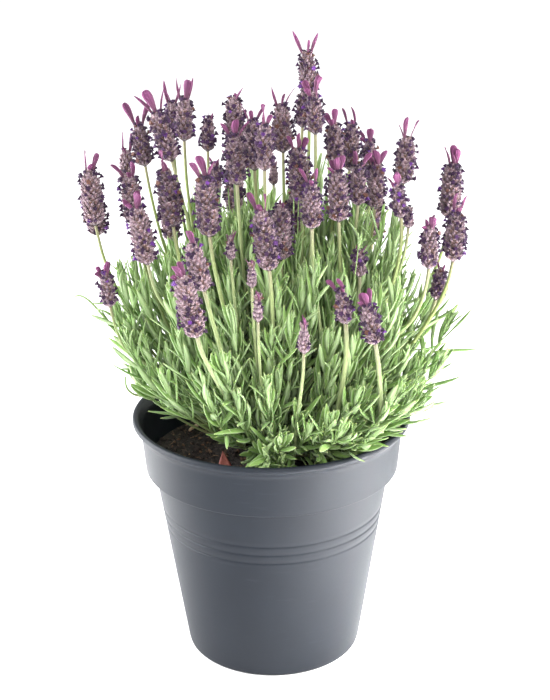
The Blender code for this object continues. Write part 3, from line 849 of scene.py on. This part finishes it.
# How far the side shoots lean out from upright, by bearing in degrees: 0 is the right, -90 the front.
LEAN_BEARINGS = (-180, -150, -125, -105, -90, -60, -30, 0, 45, 90, 135, 180)
LEAN_LIMITS = (39, 34, 32, 52, 66, 70, 68, 62, 60, 60, 50, 39)
# The plant is thin on its left and open at the front, a little to the right of the middle.
THIN_LEFT, LEFT_SHARE = -58.0, (0.62, 0.6)
FRONT_GAP = (-84.0, -62.0)
# Shoots that stand out of the outline: tip x, y, z.
OUTLIERS = (
    (-94, -4, 226), (-87, 8, 210), (-82, -16, 214), (-75, -12, 196), (-72, -30, 208), (-89, 20, 236),
    (108, 8, 208), (102, -10, 190), (92, -22, 172), (86, -36, 182), (98, 14, 228), (88, 0, 165),
    (104, 24, 220),
)

# Bare stalks on the left: four points of a bending line each, x, y, z.
BARE_STALKS = (
    ((-70, 0, 167), (-80, -1, 164), (-90, -1, 166), (-88, -2, 179)),
    ((-46, -6, 158), (-90, -2, 190), (-104, 0, 236), (-116, 0, 230)),
)
# Shoots that stand before the feet of the front flower stems on the right.
COVERS = ((72, -66, 194), (64, -70, 184), (79, -58, 186), (58, -74, 172), (40, -76, 176), (48, -70, 190))


def branch_of(x, y):
    """Which of the part's leafy branches, six round one in the middle, a shoot with its tip at x, y is on."""
    if math.hypot(x, y) < MIDDLE_BRANCH:
        return 7
    return int(math.degrees(math.atan2(y, x)) % 360 // 60) + 1


def rising(rng, tip, knee):
    """A path that leaves the crown outwards and then rises to tip; knee is the height of its bend."""
    flat = np.array([tip[0], tip[1], 0.0])
    root = CROWN_HEIGHT * UP + 0.12 * flat + rng.normal(0, 1.5, 3) * [1, 1, 0]
    low = root + 0.34 * flat + knee * UP
    high = np.array([0.90 * tip[0], 0.90 * tip[1], tip[2] - 0.46 * (tip[2] - CROWN_HEIGHT)])
    return bezier(root, low, high, tip, PATH)


def make_foliage():
    """The seven leafy branches, shoot by shoot."""
    rng = np.random.default_rng(SEEDS["foliage"])
    shapes = {i: Shape() for i in range(1, 8)}
    leaves = {i: Leaves() for i in range(1, 8)}

    def grow(tip, knee, habit):
        if tip[0] < OPEN_LEFT and tip[2] < OPEN_UNDER + 6:
            return
        branch = branch_of(tip[0], tip[1])
        grow_shoot(rng, shapes[branch], leaves[branch], rising(rng, tip, knee), habit)

    for i in range(TALL_SHOOTS):
        share = math.sqrt((i + 0.5) / TALL_SHOOTS)
        turn = i * GOLDEN + rng.normal(0, 0.1)
        x, y = TALL_REACH[0] * share * math.cos(turn), TALL_REACH[1] * share * math.sin(turn)
        front = max(0.0, -math.sin(turn))
        top = 260.0 - (32.0 + 34.0 * front) * share**2 + rng.normal(0, 12.0)
        if x > THIN_LEFT or rng.random() < LEFT_SHARE[0]:
            grow(np.array([x, y, min(top, 278.0)]), 12.0, TALL_HABIT)
    for _ in range(BACK_SHOOTS):
        x, y = rng.uniform(-56, 80), rng.uniform(-6, 62)
        grow(np.array([x, y, rng.uniform(264, 299) - 0.006 * (x - 12) ** 2]), 12.0, BACK_HABIT)
    for i in range(SIDE_SHOOTS):
        bearing = (math.degrees(i * GOLDEN) + rng.normal(0, 4)) % 360 - 180
        lean = np.interp(bearing, LEAN_BEARINGS, LEAN_LIMITS) - abs(rng.normal(0, 9.0))
        reach = np.interp(lean, (30, 50, 65, 75), (112, 108, 98, 86)) * rng.uniform(0.80, 1.03)
        tip = CROWN_HEIGHT * UP + reach * towards(math.radians(lean), math.radians(bearing))
        in_gap = FRONT_GAP[0] < bearing < FRONT_GAP[1]
        if not in_gap and (tip[0] > THIN_LEFT or rng.random() < LEFT_SHARE[1]):
            grow(tip, 10.0, SIDE_HABIT)
    for i in range(LOW_SHOOTS):
        bearing = rng.uniform(-100, -80) if i % 4 == 0 else rng.uniform(-62, 4)
        reach = rng.uniform(42, 70)
        grow(round_pot(math.radians(bearing), reach, rng.uniform(138, 170)), 4.0, LOW_HABIT)
    for tip in OUTLIERS:
        grow(np.array(tip, float), 9.0, SIDE_HABIT)
    # side shoots that fill the front on the right, above the rim
    for _ in range(FILL_SHOOTS):
        turn = math.radians(rng.uniform(-66, -8))
        grow(round_pot(turn, rng.uniform(58, 86), rng.uniform(163, 196)), 7.0, FILL_HABIT)
    # the lower halves of the front flower stems carry leaves too
    for foot, _, _ in HEADS[:len(FLOWERS) + len(BUDS)]:
        if foot[1] < -20:
            tip = np.array([0.86 * foot[0], 0.78 * foot[1], CROWN_HEIGHT + 0.55 * (foot[2] - CROWN_HEIGHT)])
            grow(tip, 8.0, STALK_HABIT)
    for tip in COVERS:
        grow(np.array(tip, float), 6.0, FILL_HABIT)
    # one broad leaf inside the rim on the left, and bare stalks that bend out over it
    broad = Leaves()
    outwards = unit(np.array([-1.0, 0.0, 0.05]))
    broad.add(np.array([-53.0, 6.0, 150.5]), outwards, UP, 23.0, 2.7, 0.12, 0.03, 0.3, 0.5)
    broad.into(shapes[4], open_left=False)
    for places in BARE_STALKS:
        stalk = bezier(*np.array(places, float), PATH)
        shapes[4].add(*pipe(stalk, np.linspace(1.0, 0.5, len(stalk)), 6), 0.5, SHOOT)
    looks = [leaf_look(), shoot_look()]
    for number, shape in shapes.items():
        leaves[number].into(shape)
        shown(shape.make(f"leafy_shoots_{number}", looks), "foliage", f"leafy_branch_{number}")


# ---------------------------------------------------------------- crown


STRANDS, STRAND_POINTS = 13, 16
STUMP = (10.5, 9.0, 7.5, 7.0, 7.0, 6.5, 6.0, 4.0)


def make_crown():
    """A stump with woody strands that rise and spread from it."""
    rng = np.random.default_rng(SEEDS["crown"])
    foot, top = box_mm("woody_crown")[:, 2] - [1.5, 0.0]
    shares = np.linspace(0, 1, STRAND_POINTS)
    crown = Shape()
    for i in range(STRANDS):
        out = towards(math.pi / 2, math.tau * i / STRANDS + rng.normal(0, 0.15))
        reach = rng.uniform(5.0, 13.0)
        start = out * 3.0 + foot * UP
        end = out * reach + (top + rng.uniform(8.0, 24.0)) * UP
        line = bezier(start, start + 6.0 * UP + out * 2.0, end - 9.0 * UP, end, shares)
        line += 0.35 * rng.standard_normal(line.shape)
        thick = np.linspace(3.4, 1.5, STRAND_POINTS) * (1 + 0.1 * rng.standard_normal(STRAND_POINTS))
        crown.add(*pipe(line, thick, 10, 5, 0.09), rng.random(1), 0)
    line = np.linspace(foot * UP, top * UP, len(STUMP))
    crown.add(*pipe(line, STUMP, 20, 7, 0.1, hint=np.array([1.0, 0.1, 0.0])), 0.5, 0)
    look = bark_look("crown_bark", (0.045, 0.028, 0.018), (0.20, 0.13, 0.08), 240.0)
    shown(crown.make("crown_wood", [look]), "bark", "woody_crown")


# ---------------------------------------------------------------- flowers

SCALE_LINE = np.array([(0.0, 0.4), (0.36, 0.92), (0.76, 0.9), (1.0, 0.22)])
FLAT_TOP = [(1.0, 0.0, 0.0), (0.5, 0.0, 0.5), (0.0, 0.0, 0.5), (-0.5, 0.0, 0.5), (-1.0, 0.0, 0.0)]
SCALE_CUT = np.array(FLAT_TOP + [(0.0, 0.0, -0.5)])
PETAL_CUT = np.array(FLAT_TOP + [(-0.5, 0.0, -0.5), (0.0, 0.0, -0.5), (0.5, 0.0, -0.5)])
BRACT_LINE = np.array([
    (0.0, 0.3), (0.16, 0.36), (0.34, 0.5), (0.54, 0.76), (0.74, 1.0), (0.88, 0.98), (0.96, 0.7), (1.0, 0.28),
])
THIN_LINE = np.array([
    (0.0, 0.5), (0.2, 0.6), (0.4, 0.85), (0.6, 1.0), (0.78, 0.85), (0.9, 0.55), (0.97, 0.3), (1.0, 0.08),
])
SIXTHS = np.arange(6) * math.tau / 6
ROUND_CUT = np.stack([np.cos(SIXTHS), np.sin(SIXTHS), np.zeros(6)], 1)
CALYX_LINE = np.array([(0.0, 0.6), (0.4, 1.0), (0.85, 0.85), (1.0, 0.45)])
# Rings of an open flower: place along it, width, how deep its five lobes are, and the grain's place along.
STAR_PLACES = 10
STAR_RINGS = (
    (0.0, 0.55, 0.0, 0.0), (0.5, 0.62, 0.0, 0.3), (0.82, 1.15, 0.14, 0.75), (1.0, 1.42, 0.26, 1.0),
    (0.88, 0.5, 0.1, 0.9),
)

# Outline of a spike's soft parts, as shares of its length and of its radius. Thin spikes are young ones.
SPIKE_LINE = (
    (0.0, 0.42), (0.06, 0.78), (0.2, 0.97), (0.5, 1.0), (0.78, 0.92), (0.93, 0.74), (1.0, 0.5), (1.1, 0.35),
)
YOUNG_LINE = ((0.0, 0.5), (0.1, 0.9), (0.3, 1.0), (0.6, 0.86), (0.85, 0.5), (1.0, 0.24), (1.1, 0.1))
YOUNG_RADIUS = 4.0
# Distance between a spike's rows of scales.
ROW_SPACE = 2.35

# Bracts on a spike, one row each: bearing seen from the front and lean in degrees, length share, half width
# and curl.
BROAD = (
    (-70, 12, 1.0, 2.7, 0.3), (40, 10, 0.92, 2.2, -0.3), (165, 20, 0.8, 2.2, 0.5), (-140, 24, 0.6, 1.8, 0.7),
)
TALL = ((-130, 10, 1.0, 2.0, 0.25), (20, 15, 0.88, 1.9, 0.3), (160, 14, 0.7, 1.7, 0.4))
PAIR = ((175, 19, 1.0, 2.1, 0.25), (5, 22, 0.96, 2.1, 0.35), (-80, 10, 0.55, 1.8, 0.2))
STUB = ((-60, 16, 1.0, 1.2, 0.6), (100, 20, 0.9, 1.2, 0.6))
THREE = (
    (-170, 20, 0.95, 2.1, 0.4), (-70, 6, 1.0, 2.5, 0.1), (-5, 24, 0.9, 2.1, 0.5), (90, 12, 0.7, 2.0, 0.3),
)
THIN = ((178, 24, 1.0, 1.15, 0.5), (0, 24, 0.98, 1.15, 0.7), (-85, 6, 0.68, 1.5, 0.1))
CROWNED = ((-80, 7, 1.0, 2.8, 0.2), (178, 27, 1.0, 1.1, 0.5), (5, 27, 0.98, 1.1, 0.4))
ONE = ((-82, 6, 1.0, 3.0, 0.15), (60, 14, 0.6, 1.6, 0.4))
BRACTS = (
    CROWNED, THIN, CROWNED, STUB, ONE, THREE, THIN, ONE, THIN, THIN, STUB, BROAD, THREE, BROAD, PAIR, BROAD,
    TALL, BROAD, PAIR, THREE, PAIR, PAIR, BROAD, PAIR, ONE, THREE, STUB, BROAD, THREE, PAIR, TALL, BROAD,
    STUB, BROAD, BROAD, ONE, BROAD, PAIR, STUB, PAIR, STUB, STUB, PAIR, BROAD, BROAD, THREE, PAIR, TALL,
)

# How pale and grey the spikes are, about 0 to 1: most, the buds, and by number those that differ.
PALENESS, BUD_PALENESS = 0.5, 0.6
PALE_SPIKES = {
    1: 0.45, 2: 0.35, 3: 0.4, 9: 0.35, 10: 0.2, 11: 0.1, 12: 0.2, 19: 0.75, 21: 0.7, 22: 0.7, 23: 0.85,
    24: 0.05, 25: 0.05, 26: 0.3, 36: 1.0, 37: 1.05, 38: 0.6,
}


def make_corollas(rng, shape, start, along, normal):
    """Small open flowers with five lobes, at start and looking along."""
    n = len(start)
    along = unit(along + 0.30 * rng.standard_normal((n, 3)))
    normal = square_to(along, normal)
    side = np.cross(normal, along)
    size = rng.uniform(0.72, 1.12, n)
    reach = rng.uniform(1.6, 3.1, n)
    angle = np.arange(STAR_PLACES) * math.tau / STAR_PLACES
    rings = []
    for place, width, lobes, _ in STAR_RINGS:
        wavy = 1 + lobes * np.cos(5 * angle) + 0.10 * rng.standard_normal((n, STAR_PLACES))
        spread = (size * width)[:, None] * wavy
        flat = (spread * np.cos(angle))[..., None] * side[:, None]
        flat = flat + (spread * np.sin(angle))[..., None] * normal[:, None]
        rings.append((start + along * (place * reach)[:, None])[:, None] + flat)
    marks = np.array(STAR_RINGS)[:, 3:]
    grain = np.stack(np.broadcast_arrays(marks, np.cos(angle)[None], np.zeros((1, 1))), -1)
    mood = rng.random(n)
    tone = np.where(mood < 0.84, rng.random(n) * 0.55, np.where(mood < 0.94, rng.uniform(0.66, 0.84, n), 1.0))
    shape.add(np.stack(rings, 1), grain, tone, COROLLA)


def make_spike(rng, shape, foot, tip, radius, bract_height, bracts, pale):
    """The spike between foot and tip with its scales, calyxes, corollas and top bracts."""
    length = np.linalg.norm(tip - foot)
    axis = (tip - foot) / length
    a = square_to(axis, np.array([1.0, 0.0, 0.0]))
    b = np.cross(axis, a)
    young = radius < YOUNG_RADIUS
    shares, widths = np.array(YOUNG_LINE if young else SPIKE_LINE).T

    def wide(s):
        return radius * np.interp(s, shares, widths)

    def spots(above, out, reach):
        return foot + above[:, None] * axis + out * reach[:, None]

    def tones(middle, varied, n):
        return np.clip(rng.normal(middle, varied, n), 0, 1)

    dusk = 0.11 + 0.57 * pale

    # core
    t = np.linspace(-0.02, 1.04, 12)
    thick = 0.62 * wide(t) * np.interp(t, [-0.02, 0.05, 0.95, 1.04], [0.4, 1, 0.9, 0.3])
    shape.add(*pipe(foot + t[:, None] * axis * length, thick, 8), 0.5, CORE)

    # scales, in rows that are turned half a step against each other
    rows = max(5, round(length / ROW_SPACE))
    around = 9 if radius > 5.5 else 8
    outs, heights = [], []
    for row in range(rows):
        for k in range(around):
            outs.append(round_axis(math.tau * (k + 0.5 * (row % 2)) / around + rng.normal(0, 0.09), a, b))
            heights.append((row + 0.15) / rows * 0.97 + rng.normal(0, 0.006))
    outs, heights = np.array(outs), np.array(heights)
    n = len(outs)
    rise = rng.uniform(3.2, 4.6, n) * (0.8 + 0.2 * radius / 7.0)
    outer = 0.90 * wide(np.clip(heights + rise / length, 0, 1.05)) * rng.uniform(0.94, 1.05, n)
    outer = np.where(heights < 0.09, np.maximum(outer, 0.86 * radius), outer)
    start = spots(heights * length, outs, 0.56 * wide(heights))
    end = spots(heights * length + rise, outs, outer)
    span = np.linalg.norm(end - start, axis=1)
    along = (end - start) / span[:, None]
    half = radius * math.pi / around * rng.uniform(0.80, 0.98, n)
    curl, twist = rng.normal(0.35, 0.18, n), rng.normal(0, 0.12, n)
    frames = start, along, -square_to(along, outs), span * 1.08, half, curl, 0.0, twist
    shape.add(*blades(*frames, SCALE_LINE, SCALE_CUT, 0.28, cup=0.36), tones(dusk, 0.2, n), SCALE)

    # calyxes between the scales, some with an open flower at the mouth
    turn = rng.normal(0, 0.10, n) + math.pi / around
    mid = outs * np.cos(turn)[:, None] + np.cross(axis, outs) * np.sin(turn)[:, None]
    level = heights + 0.35 / rows
    keep = level < 0.99
    mid, level = mid[keep], level[keep]
    n = len(mid)
    tube = rng.uniform(3.6, 4.9, n)
    mouth = wide(np.clip(level + 0.55 * tube / length, 0, 1.05)) * rng.uniform(0.90, 1.02, n)
    start = spots(level * length, mid, 0.48 * wide(level))
    end = spots(level * length + 0.55 * tube, mid, mouth)
    along = unit(end - start)
    normal = square_to(along, np.broadcast_to(axis, along.shape))
    span = np.linalg.norm(end - start, axis=1)
    frames = start, along, normal, span, rng.uniform(0.72, 1.0, n), 0.15, 0.0, 0.0
    shape.add(*blades(*frames, CALYX_LINE, ROUND_CUT, 0.0), tones(dusk, 0.22, n), CALYX)
    pick = rng.random(n) < (0.2 if young else 0.5 if pale < 0.65 else 0.3)
    make_corollas(rng, shape, end[pick] - along[pick] * 0.9, along[pick], normal[pick])

    # bracts on top
    for bearing, lean, share, half, curl in bracts:
        turn = math.radians(bearing + rng.normal(0, 12))
        polar = math.radians(0.62 * lean + rng.normal(0, 3.5))
        out = round_axis(turn, a, b)
        along = unit(math.cos(polar) * axis + math.sin(polar) * out)
        normal = -square_to(along, 0.4 * out + towards(math.pi / 2, rng.normal(-math.pi / 2, 0.5)))
        origin = tip - axis * 3.4 + out * 1.5
        width = half * (0.52 + 0.42 * min(1.0, bract_height / 11.0)) * rng.uniform(0.8, 1.1)
        reach = (1.10 * bract_height + 3.9) * share
        sway, twist = rng.normal(0, 0.16), rng.normal(0, 0.9)
        frames = origin[None], along[None], normal[None], reach, width, -curl * 0.6, sway, twist
        line = THIN_LINE if half < 1.3 else BRACT_LINE
        shape.add(*blades(*frames, line, PETAL_CUT, 0.24, cup=0.35), tones(0.55, 0.22, None), BRACT)

    # small bracts round the foot of the tall ones
    n = 7
    out = round_axis(np.arange(n) * math.tau / n + rng.normal(0, 0.2, n), a, b)
    along = unit(axis + 0.42 * out)
    origin = tip - axis * 2.4 + out * 1.5
    reach, half, twist = rng.uniform(2.6, 4.4, n), rng.uniform(1.2, 1.7, n), rng.normal(0, 0.2, n)
    frames = origin, along, -square_to(along, out), reach, half, 0.3, 0.0, twist
    shape.add(*blades(*frames, SCALE_LINE, SCALE_CUT, 0.26, cup=0.4), tones(dusk, 0.2, n), SCALE)


def make_stem(shape, line, radius, pale):
    thick = radius * np.interp(np.linspace(0, 1, len(line)), [0, 0.7, 1], [1.12, 1.0, 0.88])
    shape.add(*pipe(line, thick, 12, 4, 0.13), pale, STEM)


def stem_line(foot, axis, bare):
    """From the crown through the bare stem's points up to the spike's foot."""
    root = np.array([0.16 * foot[0], 0.16 * foot[1], CROWN_HEIGHT])
    first = bare[0]
    heading = unit(bare[1] - first)
    gap = np.linalg.norm(first - root)
    # a stem that comes up over the rim turns in sharply, clear of the lip
    bend = np.interp(np.hypot(first[0], first[1]), (50, 72), (0.35, 0.04))
    leaving = root + gap * 0.35 * unit(heading + 0.5 * unit(first - root))
    low = bezier(root, leaving, first - heading * gap * bend, first, np.linspace(0, 1, 12))[:-1]
    line = np.concatenate([low, bare, [foot, foot + axis * 1.5]])
    steps = walked(line)
    smooth = on_path(np.linspace(0, steps[-1], 40), steps, line)
    for _ in range(3):
        smooth[1:-1] = (smooth[:-2] + 2 * smooth[1:-1] + smooth[2:]) / 4
    return smooth


def make_flowers():
    """Stem, spike and bracts of each flower of the part, and the buds that it has no node for."""
    looks = [stem_look(), scale_look(), core_look(), calyx_look(), corolla_look(), bract_look()]
    for node, (bare, foot, tip, top, radius) in FLOWERS.items():
        number = int(node[-2:])
        rng = np.random.default_rng(SEEDS["flowers"] + number)
        shape = Shape()
        pale = np.clip(0.45 - 0.004 * foot[1] + rng.normal(0, 0.15), 0, 1)
        thick = np.interp(foot[1], (-75, -45, 0), (1.3, 1.1, 0.95))
        make_stem(shape, stem_line(foot, unit(tip - foot), bare), thick, pale)
        grey = PALE_SPIKES.get(number, PALENESS)
        make_spike(rng, shape, foot, tip, radius, top[2] - tip[2], BRACTS[number - 1], grey)
        shown(shape.make(f"spike_{number:02d}", looks), "flower", node)
    rng = np.random.default_rng(SEEDS["buds"])
    buds = Shape()
    for x, y, z, length, radius, bract_height in BUDS:
        foot = np.array([x, y, z])
        low = np.array([0.72 * x, 0.62 * y, 0.66 * z])
        bare = bezier(low, low + 0.1 * z * UP, foot - 0.1 * z * UP, foot, np.linspace(0, 0.96, 8))
        make_stem(buds, stem_line(foot, UP, bare), 0.85, 0.7)
        bracts = STUB if bract_height else ()
        make_spike(rng, buds, foot, foot + length * UP, radius, bract_height, bracts, BUD_PALENESS)
    shown(buds.make("young_spikes", looks), "flower")


# ---------------------------------------------------------------- loose bits on the soil


DRY_LINE = np.array([
    (0.0, 0.75), (0.14, 1.0), (0.32, 0.94), (0.52, 0.72), (0.72, 0.44), (0.88, 0.2), (1.0, 0.04),
])


def make_litter():
    """The twig and the dry leaf on the soil."""
    rng = np.random.default_rng(SEEDS["litter"])
    low, high = TWIG_BOX
    t = np.linspace(0, 1, 14)
    line = low * (1 - t)[:, None] + high * t[:, None]
    line[:, 2] = (low[2] + high[2]) / 2 + 0.4 * np.sin(5 * t)
    line += 0.18 * rng.standard_normal(line.shape)
    thick = np.interp(t, [0, 0.1, 0.9, 1], [0.7, 1.05, 0.95, 0.55]) * (1 + 0.08 * rng.standard_normal(14))
    twig = Shape()
    twig.add(*pipe(line, thick, 12, 5, 0.08), 0.5, 0)
    look = bark_look("twig_bark", (0.34, 0.22, 0.13), (0.68, 0.52, 0.37), 300.0)
    shown(twig.make("loose_twig", [look]), "twig", "twig")

    low, high = box_mm("dry_leaf")
    middle, half = (low[0] + high[0]) / 2, 0.62 * (high[0] - low[0])
    start = np.array([middle + 1.0, low[1] + 0.5, low[2] + 0.3])
    end = np.array([middle - 1.0, high[1] - 0.3, high[2] - 0.2])
    along = unit(end - start)
    normal = square_to(along, UP)
    frames = start[None], along[None], normal[None], np.linalg.norm(end - start), half, 0.25, 0.03, 0.3
    leaf = Shape()
    leaf.add(*blades(*frames, DRY_LINE, LEAF_CUT, 0.35, cup=0.35), 0.5, 0)
    look = dry_look("dry_red_leaf", (0.17, 0.035, 0.030), (0.33, 0.11, 0.085))
    shown(leaf.make("loose_dry_leaf", [look]), "dry_leaf", "dry_leaf")


# ---------------------------------------------------------------- studio


WHITE = (1.0, 1.0, 1.0)
# Name, place and target in metres, width and height, power, colour, spread in degrees.
LIGHTS = (
    ("key", (1.15, -0.50, 0.55), (0, 0, 0.18), (1.6, 1.0), 36.0, (1.0, 0.985, 0.96), 180),
    ("fill", (-1.25, 0.05, 0.50), (0, 0, 0.18), (1.1, 1.0), 52.0, (0.97, 0.98, 1.0), 180),
    ("edge_right", (1.05, 0.85, 0.35), (0, 0, 0.10), (0.6, 0.9), 13.0, WHITE, 180),
    ("front", (0.0, -1.35, 1.0), (0, 0, 0.22), (0.9, 0.6), 13.0, WHITE, 180),
    ("table_right", (0.54, -0.20, 0.40), (0.40, -0.18, 0.0), (0.36, 0.5), 15.5, WHITE, 50),
    ("table_left", (-0.52, 0.14, 0.35), (-0.42, 0.12, 0.0), (0.3, 0.4), 2.4, WHITE, 50),
    ("edge_left", (-1.05, 0.75, 0.35), (0, 0, 0.10), (0.5, 0.9), 10.0, WHITE, 180),
)
WORLD_STRENGTH = 1.18
FLOOR_HALF = 6.0


def make_studio():
    """The white floor, the lights and a bright surround."""
    scene = bpy.context.scene
    mesh = bpy.data.meshes.new("floor")
    corners = [(x * FLOOR_HALF, y * FLOOR_HALF, 0) for x, y in ((-1, -1), (1, -1), (1, 1), (-1, 1))]
    mesh.from_pydata(corners, [], [(0, 1, 2, 3)])
    linked("floor", mesh, [floor_look()])
    for name, place, target, size, power, colour, spread in LIGHTS:
        light = bpy.data.lights.new(name, "AREA")
        light.spread = math.radians(spread)
        light.shape = "RECTANGLE"
        light.size, light.size_y = size
        light.energy = power
        light.color = colour
        made = linked(name, light)
        made.location = place
        made.rotation_euler = (Vector(target) - Vector(place)).to_track_quat("-Z", "Y").to_euler()
    world = bpy.data.worlds.new("studio")
    scene.world = world
    world.use_nodes = True
    background = world.node_tree.nodes["Background"]
    background.inputs["Color"].default_value = (*WHITE, 1.0)
    background.inputs["Strength"].default_value = WORLD_STRENGTH
    scene.view_settings.view_transform = "Standard"
    scene.view_settings.look = "None"


# Place in metres, pitch and roll in radians, lens in millimetres.
CAMERA_PLACE = (0.0027, -0.900, 0.5374)
CAMERA_PITCH = math.radians(20.86)
CAMERA_ROLL = -0.0115
CAMERA_LENS = 82.08


def make_camera():
    """Looks along +Y and down by the pitch, rolled about its own line of sight."""
    camera = bpy.data.cameras.new("camera")
    camera.lens = CAMERA_LENS
    camera.sensor_width = 36.0
    camera.clip_start, camera.clip_end = 0.05, 20.0
    made = linked("camera", camera)
    forward = Vector((0.0, math.cos(CAMERA_PITCH), -math.sin(CAMERA_PITCH)))
    right = Vector((1.0, 0.0, 0.0))
    up = right.cross(forward)
    c, s = math.cos(CAMERA_ROLL), math.sin(CAMERA_ROLL)
    across, above = right * c + up * s, up * c - right * s
    turn = Matrix((across, above, -forward)).transposed()
    made.matrix_world = Matrix.Translation(CAMERA_PLACE) @ turn.to_4x4()
    bpy.context.scene.camera = made


make_pot()
make_soil()
make_crumbs()
make_crown()
make_foliage()
make_flowers()
make_litter()
make_studio()
make_camera()

bpy.context.view_layer.update()
